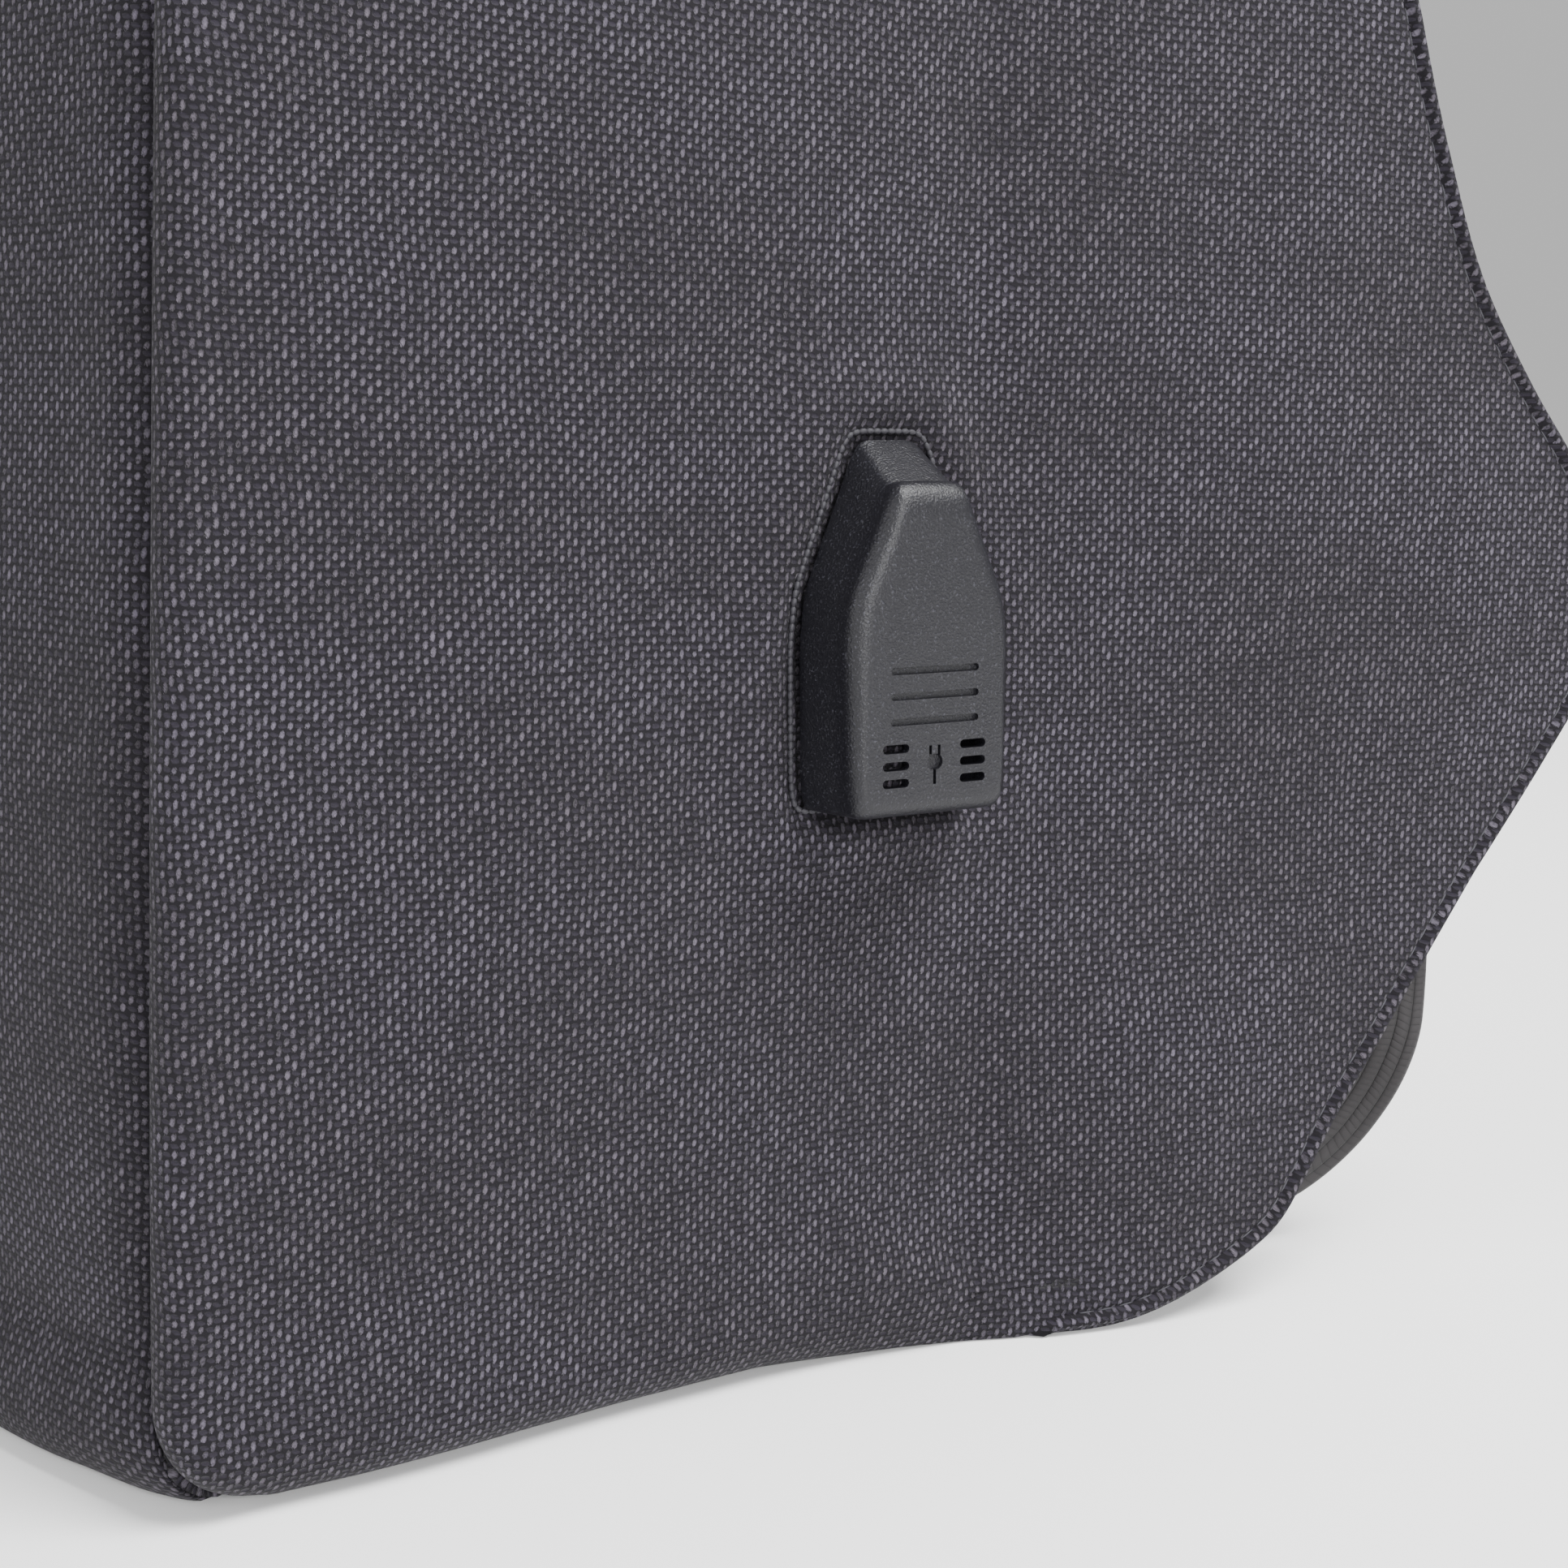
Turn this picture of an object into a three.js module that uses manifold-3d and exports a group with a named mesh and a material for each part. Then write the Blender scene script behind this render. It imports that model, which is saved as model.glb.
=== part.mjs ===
// Anti theft backpack standing on its base, in millimetres.
// +Z is up, -Y is the bag's front, +Y the side worn against the back, and +X the side with the
// charging port.
// The origin is the centre of the base's underside.

import * as THREE from 'three';
import { mergeVertices } from 'three/addons/utils/BufferGeometryUtils.js';
import Module from 'manifold-3d';

const wasm = await Module();
wasm.setup();

// Body, measured over the cloth
const BODY_HEIGHT = 450;
const BASE_DEPTH = 138;
const FRONT_WIDTH = 210;
const BACK_WIDTH = 268;
const FRONT_CROWN = 12;
const TOP_CROWN = 6;
const TOE_CROWN = 2;
const FRONT_LEAN = 24;
const TOP_ROUND = 75;
const TOE_ROUND = 15;
const TOE_PUFF = 10;
const TOE_PUFF_HEIGHT = 20;
const SHOULDER_ROUND = 62;
const SHOULDER_INSET = 50;
const SIDE_TAPER = 8;
const TOP_FALL = 14;
const BASE_TUCK = 8;
const LEAN_POWER = 1.2;
const CROWN_POWER = 2.4;
const TOE_PUFF_POWER = 1.6;
const TOE_CORNER_POWER = 8;
const BASE_CORNER_SHARE = 1.08;
const TAPER_START = 0.35;
const TAPER_POWER = 1.5;

// Cloth, seams and clearances
const CLOTH = 2;
const SEAM_GAP = 0.4;
const EDGE_ROLL = 4;
const BASE_THICKNESS = 3;
const FIT_GAP = 0.3;
const TOP_ROLL_SHARE = 0.33;

// Side flap, the free rear part of each side panel
const FLAP_HINGE = 30;
const FLAP_FLARE = 10;
const FLAP_REACH = 72;
const FLAP_BULGE = 5;
const FLAP_BULGE_HEIGHT = 60;
const TOP_FLAP_REACH = 10;
const FLARE_FADE_START = 0.4;
const FLARE_FADE_POWER = 3;

// Back panel and the hidden zip around it
const BACK_THICKNESS = 10;
const BACK_MARGIN = 14;
const PAD_RISE = 6;
const PAD_CHANNEL = 34;
const PAD_EDGE = 16;
const PAD_SLOPE = 8;
const PAD_BOTTOM = 46;
const PAD_TOP = 30;
const PIPING = 3;
const ZIP_TAPE = 1.4;
const ZIP_CHAIN_RISE = 1.6;
const ZIP_START = 45;
const SLIDER_LENGTH = 11;
const SLIDER_WIDTH = 8;
const PULL_LENGTH = 34;
const PULL_WIDTH = 7;
const PULL_THICKNESS = 2.4;
const PULL_OFFSET = 0.6;

// Straps and handle
const STRAP_WIDTH = 62;
const STRAP_THICKNESS = 11;
const STRAP_CORNER = 4;
const STRAP_STANDOFF = 48;
const STRAP_STEPS = 26;
const WEBBING_WIDTH = 30;
const WEBBING = 1.6;
const WEBBING_STEPS = 60;
const SLACK_REACH = 50;
const SLACK_START_X = 98;
const SLACK_START_Z = 19;
const LOCK_WIDTH = 38;
const LOCK_HEIGHT = 30;
const LOCK_THICKNESS = 5;
const LOCK_BAR = 4;
const TAIL_LENGTH = 85;
const HANDLE_SPAN = 110;
const HANDLE_RISE = 34;
const HANDLE_WIDTH = 28;
const HANDLE_THICKNESS = 5;
const HANDLE_CORNER = 1.2;
const HANDLE_Y = 24;
const HANDLE_STEPS = 28;

// Charging port hood on the right side panel
const HOOD_HEIGHT = 46.5;
const HOOD_WIDTH = 26;
const HOOD_DEPTH = 11;
const HOOD_CENTRE_Y = 25;
const HOOD_CENTRE_Z = 99.3;
const HOOD_WALL = 1.6;
const HOOD_SOLID_FROM = 2;
const SLOT_LENGTH = 3.9;
const SLOT_HEIGHT = 1.1;
const SLOT_PITCH = 2.15;
const SLOT_OFFSET = 5.8;
const SLOT_FIRST = 18.7;
const SLOT_COUNT = 3;
const GROOVE_LENGTH = 13.2;
const GROOVE_WIDTH = 0.9;
const GROOVE_DEPTH = 0.5;
const GROOVE_PITCH = 3.15;
const GROOVE_FIRST = 4.8;
const GROOVE_COUNT = 3;
const SOCKET_WIDTH = 13.4;
const SOCKET_THICKNESS = 6;
const SOCKET_LENGTH = 17;
const SOCKET_WALL = 0.6;
const SOCKET_TOP = 6;
const TONGUE_WIDTH = 10.4;
const TONGUE_THICKNESS = 1.8;

// Rows of the side panel from the base up. Height is a share of BODY_HEIGHT; reach is the flap's
// edge behind the body's back, a share of FLAP_REACH.
const FLAP_ROWS = [
  { height: 0.0, reach: -0.12 },
  { height: 0.006, reach: 0.0 },
  { height: 0.013, reach: 0.1 },
  { height: 0.022, reach: 0.2 },
  { height: 0.036, reach: 0.27 },
  { height: 0.056, reach: 0.35 },
  { height: 0.08, reach: 0.46 },
  { height: 0.107, reach: 0.58 },
  { height: 0.14, reach: 0.73 },
  { height: 0.17, reach: 0.86 },
  { height: 0.19, reach: 0.94 },
  { height: 0.207, reach: 0.985 },
  { height: 0.223, reach: 1.0 },
  { height: 0.24, reach: 0.985 },
  { height: 0.262, reach: 0.91 },
  { height: 0.29, reach: 0.78 },
  { height: 0.32, reach: 0.66 },
  { height: 0.36, reach: 0.56 },
  { height: 0.41, reach: 0.47 },
  { height: 0.48, reach: 0.39 },
  { height: 0.58, reach: 0.32 },
  { height: 0.7, reach: 0.25 },
  { height: 0.8, reach: 0.2 },
];

// Rows of the shoulder, where the side turns in under the top. Turn is in degrees.
const SHOULDER_TURNS = [0, 18, 36, 52, 66, 78];

// Half outlines of the hood as shares of HOOD_WIDTH / 2, up from the mouth at height -1 to the top at 1
const HOOD_BASE_ROWS = [
  { height: -1.0, half: 0.94 },
  { height: -0.85, half: 0.99 },
  { height: -0.1, half: 1.0 },
  { height: 0.18, half: 0.95 },
  { height: 0.38, half: 0.81 },
  { height: 0.66, half: 0.6 },
  { height: 0.93, half: 0.41 },
  { height: 1.0, half: 0.3 },
];
const HOOD_FACE_ROWS = [
  { height: -1.0, half: 0.82 },
  { height: -0.85, half: 0.85 },
  { height: -0.1, half: 0.9 },
  { height: 0.14, half: 0.86 },
  { height: 0.32, half: 0.72 },
  { height: 0.5, half: 0.56 },
  { height: 0.66, half: 0.43 },
  { height: 0.7, half: 0.34 },
];

// Layers of the hood between its base and its face. Rise is a share of its depth; mix runs from the
// base's outline at 0 to the face's at 1.
const HOOD_LAYERS = [
  { rise: 0, mix: 0 },
  { rise: 0.35, mix: 0.3 },
  { rise: 0.75, mix: 0.62 },
  { rise: 0.93, mix: 0.87 },
  { rise: 1, mix: 1.04 },
];

// Shoulder strap from the top down. Across is a share of BACK_WIDTH / 2, out a share of
// STRAP_STANDOFF behind the back panel and height a share of BODY_HEIGHT.
const STRAP_ROWS = [
  { across: 0.34, out: 0.0, height: 0.915 },
  { across: 0.342, out: 0.3, height: 0.915 },
  { across: 0.37, out: 0.68, height: 0.895 },
  { across: 0.41, out: 0.93, height: 0.84 },
  { across: 0.48, out: 1.0, height: 0.75 },
  { across: 0.56, out: 0.95, height: 0.64 },
  { across: 0.62, out: 0.8, height: 0.53 },
  { across: 0.665, out: 0.62, height: 0.43 },
  { across: 0.685, out: 0.5, height: 0.36 },
];

// Slack of the adjusting webbing, off its sewn end. X, y and z are shares of SLACK_REACH.
const SLACK_ROWS = [
  { x: 0, y: 0, z: 0, across: [0, 0, -1] },
  { x: 0.32, y: 0.018, z: 0, across: [0, 0, -1] },
  { x: 0.54, y: 0.152, z: 0, across: [0, -0.05, -1] },
  { x: 0.66, y: 0.38, z: 0.02, across: [0.08, 0.1, -1] },
  { x: 0.72, y: 0.59, z: 0.04, across: [0.25, 0.4, -0.88] },
  { x: 0.77, y: 0.69, z: 0.16, across: [0.48, 0.45, -0.74] },
  { x: 0.83, y: 0.75, z: 0.4, across: [0.57, 0.46, -0.67] },
  { x: 0.76, y: 0.82, z: 0.68, across: [0.8, 0.35, -0.45] },
  { x: 0.58, y: 0.76, z: 1.08, across: [0.95, 0.15, -0.2] },
  { x: 0.24, y: 0.54, z: 1.72, across: [1, 0, 0] },
];

// The webbing's turn over the lock's middle bar, off the lock's centre
const WRAP = LOCK_THICKNESS / 2 + WEBBING / 2 + 2 * FIT_GAP;
const WRAP_ROWS = [
  { y: -WRAP - FIT_GAP, z: -LOCK_HEIGHT / 2 - 2 * LOCK_BAR },
  { y: -WRAP, z: -LOCK_BAR },
  { y: -WRAP, z: 1 },
  { y: -WRAP * 0.7, z: 1 + WRAP * 0.7 },
  { y: 0, z: 1 + WRAP },
  { y: WRAP * 0.7, z: 1 + WRAP * 0.7 },
  { y: WRAP, z: 1 },
  { y: WRAP, z: -LOCK_BAR },
  { y: WRAP + FIT_GAP, z: -LOCK_HEIGHT / 2 - 2 * LOCK_BAR },
  { y: WRAP + 1, z: -TAIL_LENGTH / 2 },
  { y: WRAP, z: -TAIL_LENGTH },
];

// Half of the grab handle from its sewn end to its middle. X is a share of HANDLE_SPAN / 2 and z a
// share of HANDLE_RISE.
const HANDLE_ROWS = [
  { x: 1, z: 0.0 },
  { x: 0.78, z: 0.02 },
  { x: 0.66, z: 0.2 },
  { x: 0.5, z: 0.68 },
  { x: 0.26, z: 0.95 },
  { x: 0, z: 1 },
];


const materials = {
  cloth: { color: 0x33343c, roughness: 0.95, metalness: 0 },
  backCloth: { color: 0x26272c, roughness: 1, metalness: 0 },
  webbing: { color: 0x2b2826, roughness: 0.9, metalness: 0 },
  plastic: { color: 0x3a3b40, roughness: 0.45, metalness: 0 },
  zip: { color: 0x1c1c1f, roughness: 0.7, metalness: 0 },
  metal: { color: 0xb9bbbd, roughness: 0.3, metalness: 1 },
};

const part = new THREE.Group();

function addPiece(name, geometry, look, parent = part) {
  const mesh = new THREE.Mesh(geometry, new THREE.MeshStandardMaterial(materials[look]));
  mesh.name = name;
  parent.add(mesh);
  return mesh;
}

function lerp(a, b, share) {
  return a + (b - a) * share;
}

function clamp01(value) {
  return Math.min(1, Math.max(0, value));
}

// How far a quarter circle of the given radius has drawn in at a distance below its end
function roundIn(radius, depth) {
  const share = clamp01(depth / radius);
  return radius * (1 - Math.sqrt(1 - share * share));
}

// A closed body from an outer grid of points and the matching inner one
function slab(outer, inner) {
  const rows = outer.length;
  const columns = outer[0].length;
  const positions = [];
  for (const grid of [outer, inner]) {
    for (const row of grid) {
      for (const point of row) positions.push(point.x, point.y, point.z);
    }
  }
  const skin = rows * columns;
  const outerAt = (j, i) => j * columns + i;
  const innerAt = (j, i) => skin + j * columns + i;
  const index = [];
  const quad = (a, b, c, d) => index.push(a, b, c, a, c, d);
  for (let j = 0; j < rows - 1; j++) {
    for (let i = 0; i < columns - 1; i++) {
      quad(outerAt(j, i), outerAt(j, i + 1), outerAt(j + 1, i + 1), outerAt(j + 1, i));
      quad(innerAt(j, i), innerAt(j + 1, i), innerAt(j + 1, i + 1), innerAt(j, i + 1));
    }
  }
  for (let i = 0; i < columns - 1; i++) {
    quad(outerAt(0, i), innerAt(0, i), innerAt(0, i + 1), outerAt(0, i + 1));
    quad(outerAt(rows - 1, i), outerAt(rows - 1, i + 1), innerAt(rows - 1, i + 1), innerAt(rows - 1, i));
  }
  for (let j = 0; j < rows - 1; j++) {
    quad(outerAt(j, 0), outerAt(j + 1, 0), innerAt(j + 1, 0), innerAt(j, 0));
    const last = columns - 1;
    quad(outerAt(j, last), innerAt(j, last), innerAt(j + 1, last), outerAt(j + 1, last));
  }
  return outward(positions, index);
}

// A geometry with its faces turned outwards
function outward(positions, index) {
  const a = new THREE.Vector3();
  const b = new THREE.Vector3();
  const c = new THREE.Vector3();
  let volume = 0;
  for (let k = 0; k < index.length; k += 3) {
    a.fromArray(positions, 3 * index[k]);
    b.fromArray(positions, 3 * index[k + 1]);
    c.fromArray(positions, 3 * index[k + 2]);
    volume += a.dot(b.cross(c));
  }
  if (volume < 0) {
    for (let k = 0; k < index.length; k += 3) {
      const kept = index[k];
      index[k] = index[k + 1];
      index[k + 1] = kept;
    }
  }
  const geometry = new THREE.BufferGeometry();
  geometry.setAttribute('position', new THREE.Float32BufferAttribute(positions, 3));
  geometry.setIndex(index);
  return geometry;
}

// Normals of a grid of points, on the side that faces away from the inside point
function gridNormals(grid, inside) {
  const rows = grid.length;
  const columns = grid[0].length;
  return grid.map((row, j) => row.map((point, i) => {
    const normal = new THREE.Vector3();
    for (const [dj, di] of [[0, 0], [0, -1], [-1, 0], [-1, -1]]) {
      const j0 = j + dj;
      const i0 = i + di;
      if (j0 < 0 || i0 < 0 || j0 > rows - 2 || i0 > columns - 2) continue;
      const across = new THREE.Vector3().subVectors(grid[j0 + 1][i0 + 1], grid[j0][i0]);
      const other = new THREE.Vector3().subVectors(grid[j0 + 1][i0], grid[j0][i0 + 1]);
      normal.add(across.cross(other));
    }
    normal.normalize();
    if (normal.dot(new THREE.Vector3().subVectors(point, inside)) < 0) normal.negate();
    return normal;
  }));
}

function offsetGrid(grid, normals, distance) {
  return grid.map((row, j) => row.map((point, i) => point.clone().addScaledVector(normals[j][i], distance)));
}

// The mirror image of a geometry across the bag's middle plane
function mirrored(geometry) {
  const positions = Array.from(geometry.attributes.position.array);
  for (let k = 0; k < positions.length; k += 3) positions[k] = -positions[k];
  return outward(positions, Array.from(geometry.index.array));
}

// A right piece and its mirror image on the left
function addPair(name, geometry, look) {
  addPiece(`${name}_right`, geometry, look);
  addPiece(`${name}_left`, mirrored(geometry), look);
}

// Body surface
const SIDE_SLOPE = (BACK_WIDTH - FRONT_WIDTH) / 2 / BASE_DEPTH;
const SIDE_OUT = new THREE.Vector3(1, -SIDE_SLOPE, 0).normalize();
const BACK_Y = BASE_DEPTH / 2;
const HINGE_Y = BACK_Y - FLAP_HINGE;
const SHOULDER_START = BODY_HEIGHT - SHOULDER_ROUND;
const BODY_CENTRE = new THREE.Vector3(0, 0, BODY_HEIGHT / 2);

// Where the front crease runs at a height, seen from the side
function creaseY(z) {
  const lean = FRONT_LEAN * Math.pow(z / BODY_HEIGHT, LEAN_POWER);
  const top = roundIn(TOP_ROUND, z - (BODY_HEIGHT - TOP_ROUND));
  const toe = roundIn(TOE_ROUND, TOE_ROUND - z);
  return -BACK_Y + lean + top + toe;
}

function sidePlaneX(y) {
  return FRONT_WIDTH / 2 + SIDE_SLOPE * (y + BACK_Y);
}

// How far the side has drawn in from its plane at a height
function sideInset(z) {
  const share = clamp01((z / BODY_HEIGHT - TAPER_START) / (1 - TAPER_START));
  const taper = SIDE_TAPER * Math.pow(share, TAPER_POWER);
  const shoulder = roundIn(SHOULDER_ROUND, z - SHOULDER_START) * SHOULDER_INSET / SHOULDER_ROUND;
  return taper + shoulder;
}

// The tuck under the base, which fades out where the flap hangs free
function tuck(y, z) {
  const fade = clamp01((HINGE_Y - y) / FLAP_HINGE);
  return roundIn(BASE_TUCK, BASE_TUCK - z) * fade;
}

// The flap's stand-off from the side plane
function flapOut(y, z) {
  const past = Math.max(0, y - HINGE_Y);
  const fade = Math.pow(1 - clamp01(z / BODY_HEIGHT - FLARE_FADE_START), FLARE_FADE_POWER);
  const flare = past * Math.tan(THREE.MathUtils.degToRad(FLAP_FLARE)) * fade;
  const low = clamp01(1 - z / FLAP_BULGE_HEIGHT);
  const bulge = FLAP_BULGE * low * Math.sin(Math.PI / 2 * clamp01(past / FLAP_HINGE));
  return flare + bulge;
}

// How far the top has sunk towards the back
function topFall(y, z) {
  const share = clamp01((z - SHOULDER_START) / SHOULDER_ROUND);
  return TOP_FALL * share * Math.pow(clamp01(y / BACK_Y), 2);
}

function planePoint(y, z) {
  return new THREE.Vector3(sidePlaneX(y) - sideInset(z), y, z - topFall(y, z));
}

function sidePoint(y, z) {
  return planePoint(y, z).addScaledVector(SIDE_OUT, flapOut(y, z) - tuck(y, z));
}

// The side's outward direction, from two short steps on its surface
function sideNormal(y, z) {
  const step = 0.5;
  const low = Math.min(z, BODY_HEIGHT - 2 * step);
  const here = planePoint(y, low);
  const up = planePoint(y, low + step).sub(here);
  const back = planePoint(y + step, low).sub(here);
  return back.cross(up).normalize();
}

// Rows of the side panel: the flap's rows, the shoulder's turn, and the rolled top edge
function sideRows() {
  const rows = FLAP_ROWS.map((row) => ({ z: row.height * BODY_HEIGHT, reach: row.reach * FLAP_REACH }));
  const last = rows[rows.length - 1];
  for (const turn of SHOULDER_TURNS) {
    const z = SHOULDER_START + SHOULDER_ROUND * Math.sin(THREE.MathUtils.degToRad(turn));
    const share = (z - last.z) / (BODY_HEIGHT - last.z);
    rows.push({ z, reach: lerp(last.reach, TOP_FLAP_REACH, share) });
  }
  return rows.filter((row, k) => k === 0 || row.z > rows[k - 1].z + 1);
}

// The rolled edge: distance in from the edge and drop below the cloth's face
const ROLL = [0, 30, 60, 90].map((angle) => {
  const turn = THREE.MathUtils.degToRad(angle);
  return { along: EDGE_ROLL * (1 - Math.cos(turn)), drop: EDGE_ROLL * (1 - Math.sin(turn)) };
});
const ROLL_LEG = EDGE_ROLL + CLOTH;

// The roll flattens where the crease reaches the top
function rollShare(z) {
  return lerp(1, TOP_ROLL_SHARE, clamp01((z - SHOULDER_START) / SHOULDER_ROUND));
}

const rows = sideRows();

// Side panel: body columns from the crease to the hinge, then the flap's
function sidePanelGrid() {
  const bodyShares = [0.04, 0.2, 0.45, 0.72, 1];
  const flapShares = [0.12, 0.3, 0.55, 0.8, 1];
  const grid = rows.map((row) => {
    const start = creaseY(row.z);
    const columns = [{ y: start, drop: ROLL_LEG }];
    for (const roll of ROLL) columns.push({ y: start + roll.along, drop: roll.drop });
    for (const share of bodyShares) columns.push({ y: lerp(start + EDGE_ROLL, HINGE_Y, share), drop: 0 });
    const end = BACK_Y + row.reach;
    for (const share of flapShares) columns.push({ y: lerp(HINGE_Y, end, share), drop: 0 });
    return columns.map((column) => {
      const normal = row.z < 2 * TOE_ROUND ? SIDE_OUT : sideNormal(column.y, row.z);
      return sidePoint(column.y, row.z).addScaledVector(normal, -column.drop * rollShare(row.z));
    });
  });
  const topEdge = new THREE.Vector3(-ROLL_LEG, 0, -CLOTH);
  grid.push(grid[grid.length - 1].map((point) => point.clone().add(topEdge)));
  return grid;
}

const sideGrid = sidePanelGrid();
const sideInner = offsetGrid(sideGrid, gridNormals(sideGrid, BODY_CENTRE), -CLOTH);
for (const point of sideInner[0]) point.z = Math.max(point.z, 0);
addPair('side_panel', slab(sideGrid, sideInner), 'cloth');

// Front panel: one cloth from the toe up the front and over the top to the zip
const FRONT_SHARES = [-1, -0.94, -0.82, -0.55, -0.2, 0.2, 0.55, 0.82, 0.94, 1];

function crownAt(z) {
  const rise = clamp01(z / (4 * TOE_ROUND));
  const fall = clamp01((z - SHOULDER_START) / SHOULDER_ROUND);
  return lerp(lerp(TOE_CROWN, FRONT_CROWN, Math.sqrt(rise)), TOP_CROWN, fall);
}

// Stations of the front panel's edge in the crease: a place, the way out of the bag and the crown
function frontStations() {
  const creases = rows.map((row) => planePoint(creaseY(row.z), row.z));
  const stations = rows.map((row, k) => {
    const before = creases[Math.max(0, k - 1)];
    const after = creases[Math.min(rows.length - 1, k + 1)];
    const out = new THREE.Vector3(0, before.z - after.z, after.y - before.y).normalize();
    const normal = row.z < 2 * TOE_ROUND ? SIDE_OUT : sideNormal(creases[k].y, row.z);
    const place = sidePoint(creases[k].y, row.z);
    const drop = ROLL_LEG * rollShare(row.z) + SEAM_GAP;
    place.addScaledVector(normal, -drop).addScaledVector(out, -CLOTH);
    return { place, out, crown: crownAt(row.z) };
  });
  const topEdge = sideGrid[sideGrid.length - 1];
  for (const point of topEdge.slice(ROLL.length + 2)) {
    const place = new THREE.Vector3(point.x - SEAM_GAP, point.y, point.z);
    stations.push({ place, out: new THREE.Vector3(0, 0, 1), crown: TOP_CROWN });
  }
  stations[rows.length - 1].place.x = topEdge[0].x - 3 * SEAM_GAP;
  return stations;
}

// How far the toe swells out past the crease, at a height and a share of the half width
function toePuff(z, share) {
  const low = Math.pow(clamp01(1 - z / TOE_PUFF_HEIGHT), TOE_PUFF_POWER);
  return TOE_PUFF * low * Math.sqrt(1 - Math.pow(Math.abs(share), TOE_CORNER_POWER));
}

const frontGrid = frontStations().map(({ place, out, crown }) => FRONT_SHARES.map((share) => {
  const rise = crown * (1 - Math.pow(Math.abs(share), CROWN_POWER));
  const puffed = new THREE.Vector3(place.x * share, place.y - toePuff(place.z, share), place.z);
  return puffed.addScaledVector(out, rise);
}));
const frontInner = offsetGrid(frontGrid, gridNormals(frontGrid, BODY_CENTRE), -CLOTH);
addPiece('front_panel', slab(frontGrid, frontInner), 'cloth');

// Base panel
const BACK_FRONT_Y = BACK_Y - BACK_THICKNESS;
const BASE_START_Y = creaseY(0) + 2 * CLOTH + SEAM_GAP;
const BASE_END_Y = BACK_FRONT_Y - SEAM_GAP;
const baseShares = [0, 0.3, 0.55, 0.7, 0.83, 0.92, 1];
const baseAcross = [-1, -0.94, -0.82, -0.5, 0, 0.5, 0.82, 0.94, 1];
const baseGrids = [0, BASE_THICKNESS].map((z) => baseShares.map((share) => {
  const y = lerp(BASE_START_Y, BASE_END_Y, share);
  const edge = sidePoint(Math.min(y, HINGE_Y), 0).x - CLOTH - SEAM_GAP;
  const corner = clamp01((y - HINGE_Y) / (BASE_END_Y - HINGE_Y));
  const half = edge - corner * (BACK_MARGIN - CLOTH);
  return baseAcross.map((across) => {
    const puff = toePuff(CLOTH, Math.min(1, Math.abs(across) * BASE_CORNER_SHARE)) * (1 - share);
    return new THREE.Vector3(across * half, y - puff, z);
  });
}));
addPiece('base_panel', slab(baseGrids[0], baseGrids[1]), 'backCloth');

// The back's outline from the base up: a place on the side plane and the way out of it
const backHeights = [
  BASE_THICKNESS + SEAM_GAP,
  ...rows.filter((row, k) => k > 3 && (k % 2 === 0 || row.z >= SHOULDER_START)).map((row) => row.z),
];
const backRows = backHeights.map((z) => {
  const out = sideNormal(BACK_Y, z);
  out.y = 0;
  return { place: planePoint(BACK_Y, z), out: out.normalize() };
});

// Back panel: a padded slab with two pads and a channel between them
function padRise(x, half, z, top) {
  const across = Math.min(Math.abs(x) - PAD_CHANNEL / 2, half - PAD_EDGE - Math.abs(x)) / PAD_SLOPE;
  const along = Math.min(z - PAD_BOTTOM, top - PAD_TOP - z) / PAD_SLOPE;
  return PAD_RISE * Math.sin(Math.PI / 2 * clamp01(Math.min(across, along)));
}

const backOutline = backRows.map((row) => row.place.clone().addScaledVector(row.out, -BACK_MARGIN));
backOutline.unshift(new THREE.Vector3(backOutline[0].x, BACK_Y, SEAM_GAP));
const backTop = backOutline[backOutline.length - 1].z;
function backColumns(half) {
  const inner = PAD_CHANNEL / 2;
  const outer = half - PAD_EDGE;
  const middle = (inner + outer) / 2;
  const right = [inner - PIPING, inner, inner + PAD_SLOPE, middle, outer - PAD_SLOPE, outer, half];
  return [...right.map((x) => -x).reverse(), ...right];
}
const backGrids = [true, false].map((rear) => backOutline.map((edge) => backColumns(edge.x).map((x) => {
  const y = rear ? BACK_Y + padRise(x, edge.x, edge.z, backTop) : BACK_FRONT_Y;
  return new THREE.Vector3(x, y, edge.z);
})));
addPiece('back_panel', slab(backGrids[0], backGrids[1]), 'backCloth');

// Zip tape: an upside-down U between the side flaps, the top and the back panel
const TAPE_FRONT_Y = HINGE_Y + 1;
const TAPE_BACK_Y = BACK_Y - BACK_THICKNESS / 3;
const CHAIN_SHARES = [0, 0.4, 0.6, 1];
const CHAIN_RISES = [0, 1, 1, 0];

function tapeStations() {
  const right = backRows.map(({ place, out }, k) => {
    const turned = clamp01((backHeights[k] - SHOULDER_START) / SHOULDER_ROUND);
    const dive = lerp(CLOTH + SEAM_GAP, ROLL_LEG, turned);
    const front = planePoint(TAPE_FRONT_Y, backHeights[k]).addScaledVector(out, -dive);
    const back = new THREE.Vector3(place.x, TAPE_BACK_Y, place.z);
    back.addScaledVector(out, SEAM_GAP + ZIP_TAPE - BACK_MARGIN);
    return { front, back };
  });
  const end = right[right.length - 1];
  const middle = [0.6, 0].map((share) => ({
    front: new THREE.Vector3(end.front.x * share, end.front.y, end.front.z),
    back: new THREE.Vector3(end.back.x * share, end.back.y, end.back.z),
  }));
  const half = [...right, ...middle];
  const flip = (point) => new THREE.Vector3(-point.x, point.y, point.z);
  const left = half.slice(0, -1).reverse().map((row) => ({ front: flip(row.front), back: flip(row.back) }));
  return [...half, ...left];
}

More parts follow.
